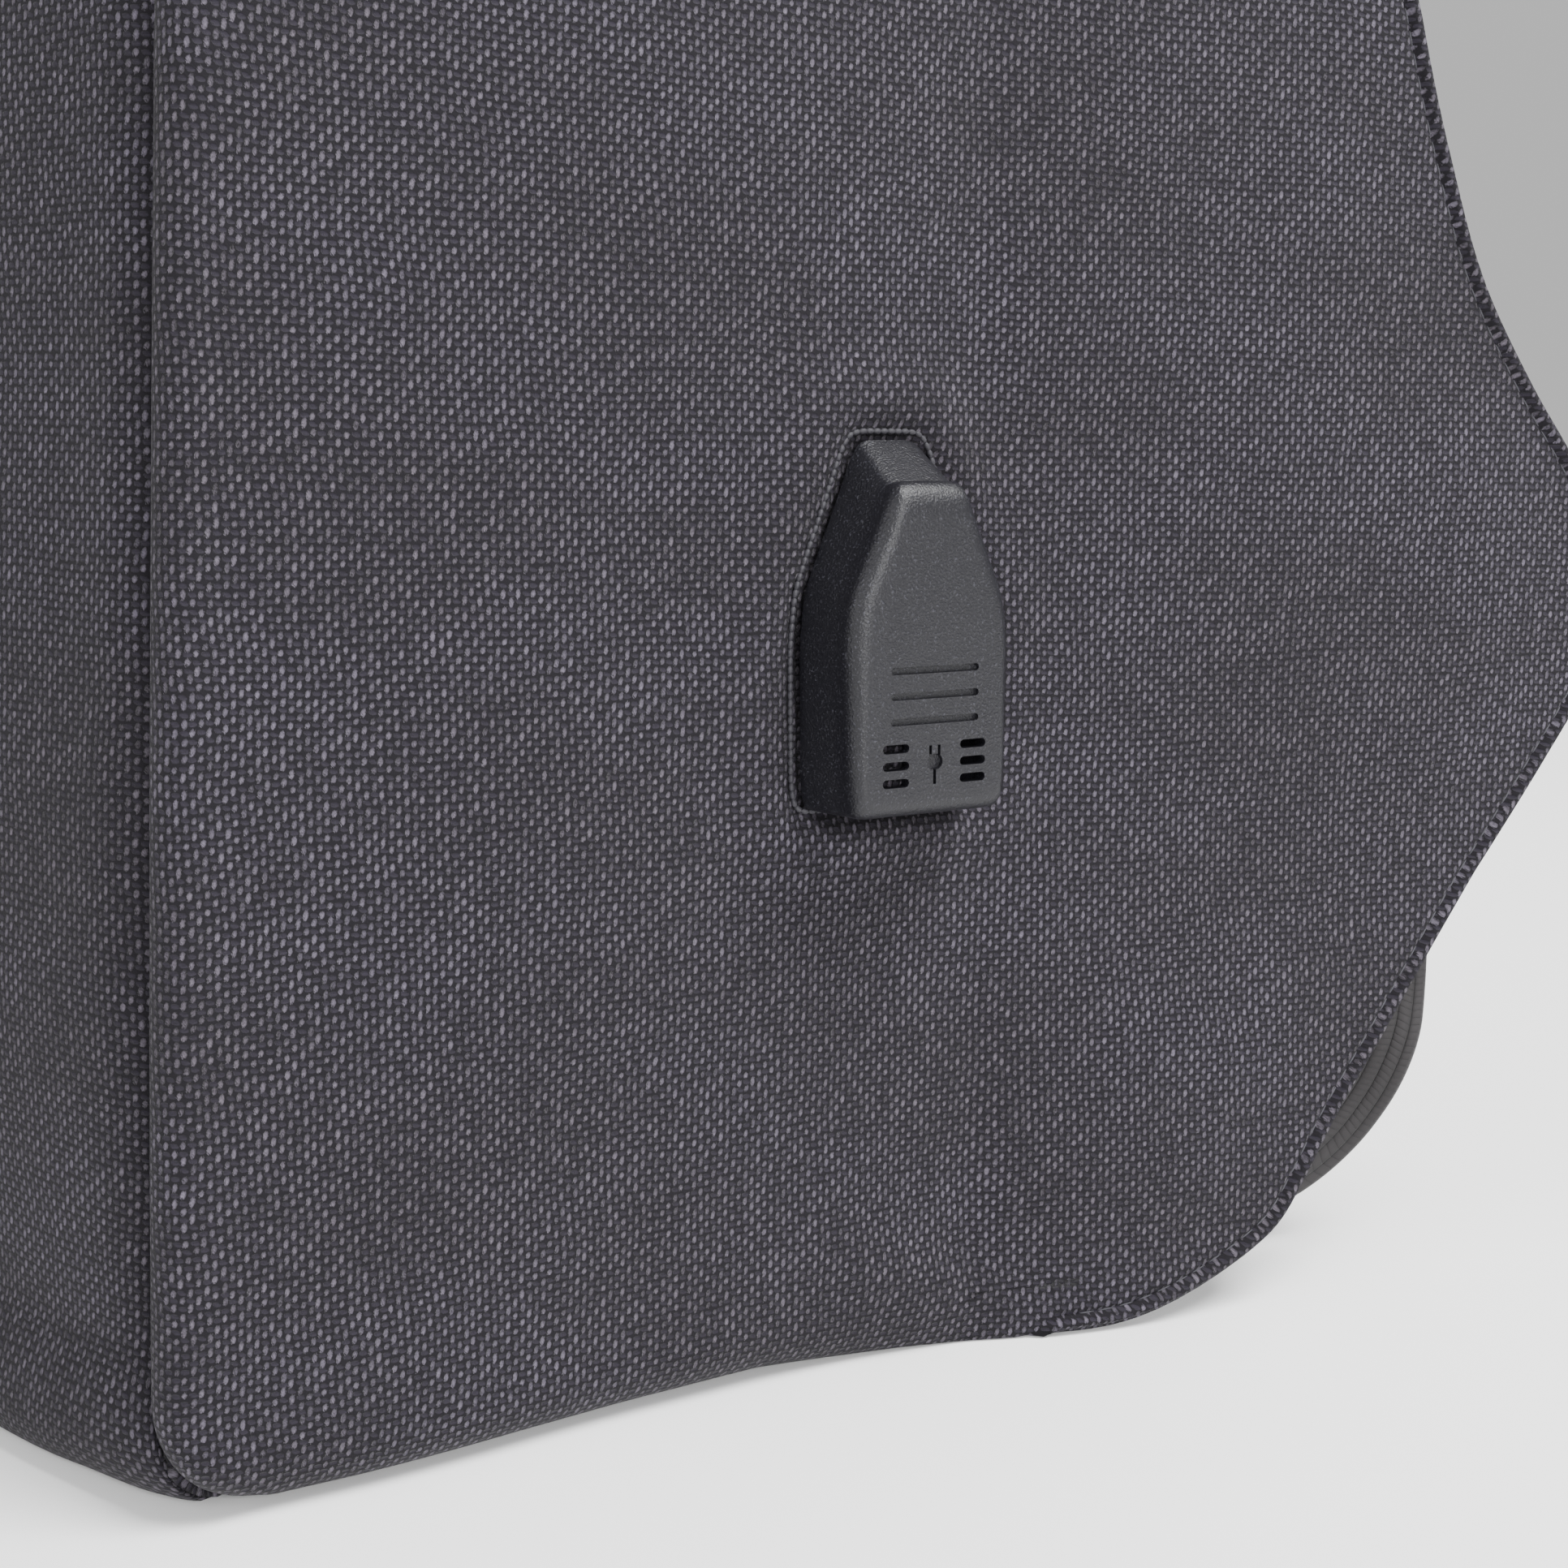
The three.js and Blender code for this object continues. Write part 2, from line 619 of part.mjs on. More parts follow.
function tapeGrid(stations, rise, lift) {
  return stations.map(({ front, back }, k) => {
    const before = stations[Math.max(0, k - 1)].front;
    const after = stations[Math.min(stations.length - 1, k + 1)].front;
    const along = new THREE.Vector3().subVectors(after, before);
    const out = new THREE.Vector3().subVectors(back, front).cross(along).normalize();
    return CHAIN_SHARES.map((share, i) => new THREE.Vector3().lerpVectors(front, back, share)
      .addScaledVector(out, lift + rise * CHAIN_RISES[i]));
  });
}

const tapes = tapeStations();
addPiece('zip_tape', slab(tapeGrid(tapes, ZIP_CHAIN_RISE, 0), tapeGrid(tapes, 0, -ZIP_TAPE)), 'zip');

// A flat or padded strip swept along a path. Each station has a centre, the strip's width direction,
// a width and a thickness.
function strip(stations, corner) {
  const positions = [];
  const index = [];
  stations.forEach(({ centre, across, width, thickness }, k) => {
    const before = stations[Math.max(0, k - 1)].centre;
    const after = stations[Math.min(stations.length - 1, k + 1)].centre;
    const along = new THREE.Vector3().subVectors(after, before).normalize();
    const side = across.clone().addScaledVector(along, -across.dot(along)).normalize();
    const lift = new THREE.Vector3().crossVectors(side, along);
    const w = width / 2;
    const t = thickness / 2;
    const c = Math.min(corner, t * 0.9);
    const section = corner > 0
      ? [[-w, t - c], [c - w, t], [w - c, t], [w, t - c], [w, c - t], [w - c, -t], [c - w, -t], [-w, c - t]]
      : [[-w, t], [w, t], [w, -t], [-w, -t]];
    for (const [u, v] of section) {
      const point = centre.clone().addScaledVector(side, u).addScaledVector(lift, v);
      positions.push(point.x, point.y, point.z);
    }
  });
  const sides = corner > 0 ? 8 : 4;
  for (let k = 0; k < stations.length - 1; k++) {
    for (let i = 0; i < sides; i++) {
      const next = (i + 1) % sides;
      const a = k * sides + i;
      const b = k * sides + next;
      index.push(a, b, b + sides, a, b + sides, a + sides);
    }
  }
  const last = (stations.length - 1) * sides;
  for (let i = 1; i < sides - 1; i++) {
    index.push(0, i + 1, i);
    index.push(last, last + i, last + i + 1);
  }
  return outward(positions, index);
}

// Samples a table of places and width directions at even steps
function stationsAlong(table, steps, widthAt, thickness) {
  const path = new THREE.CatmullRomCurve3(table.map((row) => row.place), false, 'centripetal');
  const turns = new THREE.CatmullRomCurve3(table.map((row) => row.across), false, 'centripetal');
  const stations = [];
  for (let k = 0; k <= steps; k++) {
    const t = k / steps;
    stations.push({ centre: path.getPoint(t), across: turns.getPoint(t), width: widthAt(t), thickness });
  }
  return stations;
}

// Shoulder straps
const acrossBag = new THREE.Vector3(1, 0, 0);
const strapTable = STRAP_ROWS.map((row) => ({
  place: new THREE.Vector3(
    row.across * BACK_WIDTH / 2,
    BACK_Y + 2 * FIT_GAP + row.out * STRAP_STANDOFF,
    row.height * BODY_HEIGHT,
  ),
  across: acrossBag,
}));

function strapWidth(t) {
  return lerp(STRAP_WIDTH, LOCK_WIDTH, Math.pow(clamp01((t - 0.55) / 0.45), 1.4));
}

const strapStations = stationsAlong(strapTable, STRAP_STEPS, strapWidth, STRAP_THICKNESS);
addPair('shoulder_strap', strip(strapStations, STRAP_CORNER), 'cloth');

// Ladder lock: a frame with two slots, under the end of the strap
const strapEnd = strapTable[strapTable.length - 1].place;
const lockCentre = new THREE.Vector3(strapEnd.x, strapEnd.y, strapEnd.z - LOCK_HEIGHT / 2 - LOCK_BAR / 2);
const lockSlot = (LOCK_HEIGHT - 3 * LOCK_BAR) / 2;

function solid(geometry) {
  geometry.deleteAttribute('normal');
  geometry.deleteAttribute('uv');
  const merged = mergeVertices(geometry, 1e-4);
  return new wasm.Manifold(new wasm.Mesh({
    numProp: 3,
    vertProperties: merged.attributes.position.array,
    triVerts: Uint32Array.from(merged.index.array),
  }));
}

function geometryOf(manifold) {
  const mesh = manifold.getMesh();
  const geometry = new THREE.BufferGeometry();
  geometry.setAttribute('position', new THREE.BufferAttribute(mesh.vertProperties, 3));
  geometry.setIndex(new THREE.BufferAttribute(mesh.triVerts, 1));
  return geometry;
}

function boxAt(width, depth, height, x, y, z) {
  return solid(new THREE.BoxGeometry(width, depth, height).translate(x, y, z));
}

function ladderLock() {
  const slotAt = (lockSlot + LOCK_BAR) / 2;
  const slotWidth = LOCK_WIDTH - 2 * LOCK_BAR + 1;
  let frame = boxAt(LOCK_WIDTH, LOCK_THICKNESS, LOCK_HEIGHT, 0, 0, 0);
  for (const z of [slotAt, -slotAt]) {
    frame = frame.subtract(boxAt(slotWidth, 2 * LOCK_THICKNESS, lockSlot, 0, 0, z));
  }
  return geometryOf(frame.translate(lockCentre.x, lockCentre.y, lockCentre.z));
}

addPair('ladder_lock', ladderLock(), 'plastic');

// Adjusting webbing: from the back panel's lower corner, out past the flap in a slack bend, up to the
// lock, over its middle bar and down to the free end
const slackBase = new THREE.Vector3(SLACK_START_X, BACK_Y + 2 * FIT_GAP + WEBBING / 2, SLACK_START_Z);
const webbingTable = [
  ...SLACK_ROWS.map((row) => ({
    place: new THREE.Vector3(row.x, row.y, row.z).multiplyScalar(SLACK_REACH).add(slackBase),
    across: new THREE.Vector3(...row.across),
  })),
  ...WRAP_ROWS.map((row) => ({
    place: new THREE.Vector3(0, row.y, row.z).add(lockCentre),
    across: acrossBag,
  })),
];

function webbingWidth(t) {
  return lerp(WEBBING_WIDTH, LOCK_WIDTH - 2 * LOCK_BAR - 1, clamp01(t * 3));
}

const webbingStations = stationsAlong(webbingTable, WEBBING_STEPS, webbingWidth, WEBBING);
addPair('strap_webbing', strip(webbingStations, 0), 'webbing');

// The top cloth's height across the bag where the handle is sewn
function topZ(x) {
  const station = frontGrid.slice(rows.length).find((points) => points[0].y > HANDLE_Y - HANDLE_WIDTH / 2);
  const edge = station[station.length - 1];
  return edge.z + TOP_CROWN * (1 - Math.pow(Math.abs(x / edge.x), CROWN_POWER));
}

const handleHalf = HANDLE_ROWS.map((row) => {
  const x = row.x * HANDLE_SPAN / 2;
  const seat = topZ(x) + 2 * FIT_GAP + HANDLE_THICKNESS / 2;
  return {
    place: new THREE.Vector3(x, HANDLE_Y, seat + row.z * HANDLE_RISE),
    across: new THREE.Vector3(0, 1, 0),
  };
});
const handleTable = [
  ...handleHalf,
  ...handleHalf.slice(0, -1).reverse().map(({ place, across }) => ({
    place: new THREE.Vector3(-place.x, place.y, place.z),
    across,
  })),
];
const handleStations = stationsAlong(handleTable, HANDLE_STEPS, () => HANDLE_WIDTH, HANDLE_THICKNESS);
addPiece('grab_handle', strip(handleStations, HANDLE_CORNER), 'cloth');

// Charging port. Its frame has u along the side towards the back, v up and h out of the cloth.
const hoodFrame = new THREE.Group();
const sideAlong = new THREE.Vector3(-SIDE_OUT.y, SIDE_OUT.x, 0);
hoodFrame.matrix.makeBasis(sideAlong, new THREE.Vector3(0, 0, 1), SIDE_OUT);
hoodFrame.quaternion.setFromRotationMatrix(hoodFrame.matrix);
hoodFrame.position.copy(planePoint(HOOD_CENTRE_Y, HOOD_CENTRE_Z)).addScaledVector(SIDE_OUT, FIT_GAP);
part.add(hoodFrame);

function outlineOf(table, inset) {
  const right = table.map((row) => [
    Math.max(0.5, row.half * HOOD_WIDTH / 2 - inset),
    row.height * (HOOD_HEIGHT / 2 - (row.height > 0 ? inset : 0)),
  ]);
  return [...right, ...right.map(([u, v]) => [-u, v]).reverse()];
}

// The hood's form, drawn in by an inset, between two distances from the cloth
function hoodForm(inset, from, to) {
  const base = outlineOf(HOOD_BASE_ROWS, inset);
  const face = outlineOf(HOOD_FACE_ROWS, inset);
  const positions = [];
  const index = [];
  const count = base.length;
  for (const layer of HOOD_LAYERS) {
    for (let k = 0; k < count; k++) {
      const u = lerp(base[k][0], face[k][0], layer.mix);
      const v = lerp(base[k][1], face[k][1], layer.mix);
      positions.push(u, v, lerp(from, to, layer.rise));
    }
  }
  for (let j = 0; j < HOOD_LAYERS.length - 1; j++) {
    for (let k = 0; k < count; k++) {
      const next = (k + 1) % count;
      const a = j * count + k;
      const b = j * count + next;
      index.push(a, b, b + count, a, b + count, a + count);
    }
  }
  const top = (HOOD_LAYERS.length - 1) * count;
  const ring = base.map(([u, v]) => new THREE.Vector2(u, v));
  for (const [a, b, c] of THREE.ShapeUtils.triangulateShape(ring, [])) {
    index.push(a, c, b);
    index.push(top + a, top + b, top + c);
  }
  return solid(outward(positions, index));
}

// A round-ended bar along u, standing through h
function roundEnded(length, height, u, v, from, to) {
  const shape = new THREE.Shape();
  const r = height / 2;
  shape.absarc(length / 2 - r, 0, r, -Math.PI / 2, Math.PI / 2, false);
  shape.absarc(r - length / 2, 0, r, Math.PI / 2, Math.PI * 1.5, false);
  const options = { depth: to - from, bevelEnabled: false, curveSegments: 3 };
  const geometry = new THREE.ExtrudeGeometry(shape, options);
  return solid(geometry.translate(u, v, from));
}

const socketH = (HOOD_DEPTH - HOOD_WALL) / 2;
function hoodSolid() {
  const cavity = hoodForm(HOOD_WALL, -1, HOOD_DEPTH - HOOD_WALL);
  const reach = HOOD_HEIGHT / 2 + HOOD_SOLID_FROM;
  const middle = HOOD_SOLID_FROM - reach / 2 - 0.5;
  const mouth = hoodForm(HOOD_WALL, -1, HOOD_DEPTH - HOOD_WALL).translate(0, -1, 0).add(cavity)
    .intersect(solid(new THREE.BoxGeometry(HOOD_WIDTH, reach + 1, 3 * HOOD_DEPTH).translate(0, middle, 0)));
  let hood = hoodForm(0, 0, HOOD_DEPTH).subtract(mouth);
  hood = hood.subtract(solid(new THREE.BoxGeometry(
    SOCKET_WIDTH + 2 * FIT_GAP, 2 * (SOCKET_TOP + FIT_GAP), SOCKET_THICKNESS + 2 * FIT_GAP,
  ).translate(0, 0, socketH)));
  for (const side of [-1, 1]) {
    for (let k = 0; k < SLOT_COUNT; k++) {
      const v = -SLOT_FIRST + k * SLOT_PITCH;
      const u = side * SLOT_OFFSET;
      hood = hood.subtract(roundEnded(SLOT_LENGTH, SLOT_HEIGHT, u, v, socketH, 2 * HOOD_DEPTH));
    }
  }
  for (let k = 0; k < GROOVE_COUNT; k++) {
    const v = -GROOVE_FIRST - k * GROOVE_PITCH;
    const floor = HOOD_DEPTH - GROOVE_DEPTH;
    hood = hood.subtract(roundEnded(GROOVE_LENGTH, GROOVE_WIDTH, 0, v, floor, 2 * HOOD_DEPTH));
  }
  return hood;
}

addPiece('usb_hood', geometryOf(hoodSolid()), 'plastic', hoodFrame);

const socketV = SOCKET_TOP - SOCKET_LENGTH / 2;
const socketShell = solid(new THREE.BoxGeometry(SOCKET_WIDTH, SOCKET_LENGTH, SOCKET_THICKNESS)).subtract(
  solid(new THREE.BoxGeometry(
    SOCKET_WIDTH - 2 * SOCKET_WALL, SOCKET_LENGTH, SOCKET_THICKNESS - 2 * SOCKET_WALL,
  ).translate(0, -2 * SOCKET_WALL, 0)),
);
addPiece('usb_socket_shell', geometryOf(socketShell.translate(0, socketV, socketH)), 'metal', hoodFrame);
const tongueLength = SOCKET_LENGTH - 6 * SOCKET_WALL;
const tongueV = SOCKET_TOP - 2 * SOCKET_WALL - FIT_GAP - tongueLength / 2;
const tongue = new THREE.BoxGeometry(TONGUE_WIDTH, tongueLength, TONGUE_THICKNESS);
addPiece('usb_socket_tongue', tongue.translate(0, tongueV, socketH), 'plastic', hoodFrame);

// Zip slider near the lower end of the chain, with its pull hanging down
function zipSlider() {
  const up = new THREE.Vector3(0, 0, 1);
  const station = tapes.find(({ front }) => front.z > ZIP_START + PULL_LENGTH);
  const out = new THREE.Vector3().subVectors(station.back, station.front).cross(up).normalize();
  const across = new THREE.Vector3().crossVectors(out, up);
  const body = boxAt(SLIDER_WIDTH, PULL_THICKNESS, SLIDER_LENGTH, 0, 0, 0);
  const pull = boxAt(PULL_WIDTH, PULL_THICKNESS, PULL_LENGTH, 0, PULL_OFFSET, -PULL_LENGTH / 2);
  const geometry = geometryOf(body.add(pull));
  geometry.applyMatrix4(new THREE.Matrix4().makeBasis(across, out, up));
  const middle = new THREE.Vector3().lerpVectors(station.front, station.back, 0.5);
  middle.addScaledVector(out, ZIP_CHAIN_RISE + FIT_GAP + PULL_THICKNESS / 2);
  return geometry.translate(middle.x, middle.y, middle.z);
}

addPair('zip_slider', zipSlider(), 'metal');

export default part;
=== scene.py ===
"""Looks of an anti theft backpack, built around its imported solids.

Sizes are in millimetres up to the point where a mesh is made, which is in metres. +Z is up, -Y is
the bag's front, +Y the side worn against the back, and +X the side with the charging port.
"""

import logging
import math
from dataclasses import dataclass
from enum import Enum
from typing import Callable, Sequence

import bmesh
import bpy
import numpy as np
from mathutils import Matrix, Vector


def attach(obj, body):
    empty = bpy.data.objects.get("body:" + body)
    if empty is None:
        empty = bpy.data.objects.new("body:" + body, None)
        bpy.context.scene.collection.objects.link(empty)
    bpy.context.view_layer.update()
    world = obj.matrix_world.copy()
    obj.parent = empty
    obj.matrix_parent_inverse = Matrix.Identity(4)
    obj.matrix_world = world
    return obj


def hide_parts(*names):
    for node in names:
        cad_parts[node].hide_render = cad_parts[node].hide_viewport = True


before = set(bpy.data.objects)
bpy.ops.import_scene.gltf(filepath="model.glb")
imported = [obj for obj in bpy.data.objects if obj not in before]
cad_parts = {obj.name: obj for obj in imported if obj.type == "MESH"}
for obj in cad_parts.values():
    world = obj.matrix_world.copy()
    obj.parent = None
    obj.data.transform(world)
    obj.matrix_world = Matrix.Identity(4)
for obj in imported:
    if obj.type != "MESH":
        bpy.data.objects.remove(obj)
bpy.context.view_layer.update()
MM = 0.001
log = logging.getLogger("backpack")


# Shapes worked out with numbers


def clamp01(value: np.ndarray | float) -> np.ndarray:
    """Returns the value held between 0 and 1."""
    return np.clip(value, 0.0, 1.0)


def lerp(low: np.ndarray | float, high: np.ndarray | float, share: np.ndarray | float) -> np.ndarray:
    """Returns the value at a share of the way from low to high."""
    return low + (high - low) * share


def smooth(low: float, high: float, value: np.ndarray | float) -> np.ndarray:
    """Returns a soft step from 0 at low to 1 at high."""
    share = clamp01((np.asarray(value, float) - low) / (high - low))
    return share * share * (3 - 2 * share)


def bell(offset: np.ndarray, width: float) -> np.ndarray:
    """Returns a bell curve's height, 1 at offset 0."""
    return np.exp(-((offset / width) ** 2))


def units(rows: np.ndarray) -> np.ndarray:
    """Returns each row at length 1."""
    return rows / np.linalg.norm(rows, axis=-1, keepdims=True)


def round_in(radius: float, depth: np.ndarray | float) -> np.ndarray:
    """Returns how far a quarter circle has drawn in at a depth past its start."""
    share = clamp01(np.asarray(depth, float) / radius)
    return radius * (1 - np.sqrt(1 - share * share))


def through_table(at: Sequence[float], values: Sequence[float], x: np.ndarray | float) -> np.ndarray:
    """Runs a smooth curve through a table's rows.

    Args:
        at: The rows' places, rising.
        values: The rows' values.
        x: Places to read.

    Returns:
        The curve's value at each place.
    """
    at = np.asarray(at, float)
    values = np.asarray(values, float)
    slopes = np.gradient(values, at)
    x = np.clip(np.asarray(x, float), at[0], at[-1])
    k = np.clip(np.searchsorted(at, x, side="right") - 1, 0, len(at) - 2)
    width = at[k + 1] - at[k]
    t = (x - at[k]) / width
    start = (2 * t**3 - 3 * t**2 + 1) * values[k] + (t**3 - 2 * t**2 + t) * width * slopes[k]
    end = (3 * t**2 - 2 * t**3) * values[k + 1] + (t**3 - t**2) * width * slopes[k + 1]
    return start + end


def ripple(x: np.ndarray, y: np.ndarray, length: float, seed: int) -> np.ndarray:
    """Returns soft, even unevenness between about -1 and 1, made of a few fixed waves.

    Args:
        x: First coordinate, in millimetres.
        y: Second coordinate, in millimetres.
        length: Usual distance between two crests.
        seed: Which set of waves to use.
    """
    chance = np.random.default_rng(seed)
    total = np.zeros(np.broadcast(x, y).shape)
    waves = 7
    for _ in range(waves):
        turn = chance.uniform(0, math.tau)
        reach = math.tau / (length * chance.uniform(0.7, 1.6))
        phase = chance.uniform(0, math.tau)
        total += np.sin(reach * (x * math.cos(turn) + y * math.sin(turn)) + phase)
    return total / waves * 1.6


def path_through(points: Sequence[Sequence[float]], steps: int) -> np.ndarray:
    """Runs a centripetal curve through points.

    Args:
        points: The points that it passes.
        steps: How many equal steps of its parameter.

    Returns:
        steps + 1 points on the curve.
    """
    rows = np.asarray(points, float)
    first = 2 * rows[0] - rows[1]
    last = 2 * rows[-1] - rows[-2]
    held = np.vstack([first, rows, last])
    spans = len(rows) - 1
    out = []
    for t in np.linspace(0, spans, steps + 1):
        k = min(int(t), spans - 1)
        w = t - k
        p0, p1, p2, p3 = held[k : k + 4]
        d0, d1, d2 = (max(np.sum((b - a) ** 2) ** 0.25, 1e-4) for a, b in ((p0, p1), (p1, p2), (p2, p3)))
        t1 = ((p1 - p0) / d0 - (p2 - p0) / (d0 + d1) + (p2 - p1) / d1) * d1
        t2 = ((p2 - p1) / d1 - (p3 - p1) / (d1 + d2) + (p3 - p2) / d2) * d1
        c2 = 3 * (p2 - p1) - 2 * t1 - t2
        c3 = 2 * (p1 - p2) + t1 + t2
        out.append(p1 + t1 * w + c2 * w * w + c3 * w**3)
    return np.array(out)


def even_steps(points: np.ndarray, step: float) -> np.ndarray:
    """Returns points along a line of points, a given step apart."""
    along = run_length(points)
    count = max(2, int(round(along[-1] / step)) + 1)
    at = np.linspace(0, along[-1], count)
    return np.stack([np.interp(at, along, points[:, k]) for k in range(points.shape[1])], axis=1)


def run_length(points: np.ndarray) -> np.ndarray:
    """Returns the distance along a line of points up to each of them."""
    gaps = np.linalg.norm(np.diff(points, axis=0), axis=1)
    return np.concatenate([[0], np.cumsum(gaps)])


def grid_normals(grid: np.ndarray, outward: np.ndarray) -> np.ndarray:
    """Returns unit normals of a grid of points, on the side of the outward direction.

    Args:
        grid: Rows by columns by 3.
        outward: A rough outward direction for each point, or one for all.
    """
    down = np.gradient(grid, axis=0)
    across = np.gradient(grid, axis=1)
    normal = np.cross(down, across)
    size = np.linalg.norm(normal, axis=2, keepdims=True)
    normal = normal / np.maximum(size, 1e-9)
    flip = np.sum(normal * outward, axis=2, keepdims=True) < 0
    return np.where(flip, -normal, normal)


# Meshes


def rectangle(left: float, low: float, right: float, high: float) -> np.ndarray:
    """Returns a rectangle's corners, turning left."""
    return np.array([(left, low), (right, low), (right, high), (left, high)])


def mirror_x(points: np.ndarray) -> np.ndarray:
    """Returns points mirrored across the bag's middle plane."""
    return points * np.array([-1.0, 1.0, 1.0])


def set_cloth_places(mesh: bpy.types.Mesh, uvs: np.ndarray) -> None:
    """Gives each of a mesh's points its place on the cloth, in millimetres."""
    layer = mesh.uv_layers.new(name="cloth")
    corners = np.zeros(len(mesh.loops), np.int32)
    mesh.loops.foreach_get("vertex_index", corners)
    layer.data.foreach_set("uv", np.asarray(uvs, np.float32)[corners].ravel())


def shade_smooth(mesh: bpy.types.Mesh) -> None:
    """Makes all of a mesh's faces look smooth."""
    mesh.polygons.foreach_set("use_smooth", [True] * len(mesh.polygons))


def new_piece(
    name: str, points: np.ndarray, faces: Sequence[Sequence[int]], uvs: np.ndarray | None = None
) -> bpy.types.Object:
    """Makes an object from points in millimetres, with its faces outwards.

    Args:
        name: The piece's name.
        points: Its points.
        faces: Rows of point numbers.
        uvs: A place on the cloth for each point, in millimetres.

    Returns:
        The new object, linked to the scene.
    """
    mesh = bpy.data.meshes.new(name)
    mesh.from_pydata((np.asarray(points) * MM).tolist(), [], [list(map(int, f)) for f in faces])
    mesh.update()
    if uvs is not None:
        set_cloth_places(mesh, uvs)
    turned = bmesh.new()
    turned.from_mesh(mesh)
    bmesh.ops.recalc_face_normals(turned, faces=turned.faces)
    turned.to_mesh(mesh)
    turned.free()
    shade_smooth(mesh)
    piece = bpy.data.objects.new(name, mesh)
    bpy.context.scene.collection.objects.link(piece)
    return piece


def slab(name: str, outer: np.ndarray, inner: np.ndarray, uvs: np.ndarray) -> bpy.types.Object:
    """Makes a closed sheet from an outer grid of points and the matching inner one."""
    rows, columns = outer.shape[:2]
    number = np.arange(rows * columns).reshape(rows, columns)
    under = number + rows * columns
    faces = []
    for skin in (number, under):
        quads = np.stack([skin[:-1, :-1], skin[:-1, 1:], skin[1:, 1:], skin[1:, :-1]], axis=-1).reshape(-1, 4)
        if skin is under:
            quads = quads[:, ::-1]
        faces.extend(quads.tolist())
    rim = np.concatenate([number[0, :], number[1:, -1], number[-1, -2::-1], number[-2:0:-1, 0]])
    low = rim + rows * columns
    for k in range(len(rim)):
        n = (k + 1) % len(rim)
        faces.append([rim[n], rim[k], low[k], low[n]])
    points = np.concatenate([outer.reshape(-1, 3), inner.reshape(-1, 3)])
    flat = uvs.reshape(-1, 2)
    return new_piece(name, points, faces, np.concatenate([flat, flat]))


def swept(name: str, centres: np.ndarray, acrosses: np.ndarray, sections: np.ndarray) -> bpy.types.Object:
    """Sweeps a section along a path.

    Args:
        name: The piece's name.
        centres: The path's points.
        acrosses: The width direction at each point.
        sections: For each point, the section's places across and out of the strip.

    Returns:
        A closed piece with its cloth places across and along the strip.
    """
    along = units(np.gradient(centres, axis=0))
    side = units(acrosses - along * np.sum(acrosses * along, axis=1, keepdims=True))
    lift = np.cross(side, along)
    rings = centres[:, None] + side[:, None] * sections[:, :, :1] + lift[:, None] * sections[:, :, 1:]
    count = sections.shape[1]
    number = np.arange(len(centres) * count).reshape(len(centres), count)
    after = np.roll(number, -1, axis=1)
    quads = np.stack([number[:-1], after[:-1], after[1:], number[1:]], axis=-1).reshape(-1, 4)
    faces = quads.tolist() + [number[0, ::-1].tolist(), number[-1].tolist()]
    runs = np.repeat(run_length(centres)[:, None], count, axis=1)
    uvs = np.stack([sections[:, :, 0], runs], axis=-1).reshape(-1, 2)
    return new_piece(name, rings.reshape(-1, 3), faces, uvs)


def rounded_section(
    width: float, thickness: float, corner: float, count: int = 6, flat: int = 6
) -> np.ndarray:
    """Returns a flat strip's section with round edges.

    Args:
        width: Full width.
        thickness: Full thickness.
        corner: Radius of its corners.
        count: Steps in each corner.
        flat: Steps along each flat side.
    """
    half_w = width / 2
    half_t = thickness / 2
    c = min(corner, half_t * 0.98, half_w * 0.98)
    points = []
    corners = [
        (half_w - c, half_t - c, 90),
        (half_w - c, c - half_t, 0),
        (c - half_w, c - half_t, -90),
        (c - half_w, half_t - c, 180),
    ]
    for place, (x, y, start) in enumerate(corners):
        for k in range(count + 1):
            turn = math.radians(start - 90 * k / count)
            points.append((x + c * math.cos(turn), y + c * math.sin(turn)))
        following = corners[(place + 1) % 4]
        turn = math.radians(following[2])
        goal = (following[0] + c * math.cos(turn), following[1] + c * math.sin(turn))
        if place % 2 == 1:
            last = points[-1]
            ways = np.arange(1, flat) / flat
            points.extend((lerp(last[0], goal[0], way), lerp(last[1], goal[1], way)) for way in ways)
    return np.array(points)


def with_modifier(piece: bpy.types.Object, kind: str, **settings: object) -> bpy.types.Object:
    """Adds a modifier with its settings and applies it to the piece's mesh."""
    step = piece.modifiers.new(kind.lower(), kind)
    for key, value in settings.items():
        setattr(step, key, value)
    return baked(piece)


def baked(piece: bpy.types.Object) -> bpy.types.Object:
    """Turns a piece's evaluated shape into its plain mesh and clears its modifiers."""
    seen = bpy.context.evaluated_depsgraph_get()
    mesh = bpy.data.meshes.new_from_object(piece.evaluated_get(seen))
    old = piece.data
    piece.modifiers.clear()
    piece.data = mesh
    if isinstance(old, bpy.types.Mesh) and old.users == 0:
        bpy.data.meshes.remove(old)
    return piece


def drop(piece: bpy.types.Object) -> None:
    """Removes a helper object."""
    bpy.data.objects.remove(piece, do_unlink=True)


def joined(name: str, pieces: Sequence[bpy.types.Object]) -> bpy.types.Object:
    """Joins pieces into one mesh, keeping their materials and cloth places."""
    bpy.ops.object.select_all(action="DESELECT")
    for piece in pieces:
        piece.select_set(True)
    bpy.context.view_layer.objects.active = pieces[0]
    bpy.ops.object.join()
    pieces[0].name = name
    return pieces[0]


# Nodes


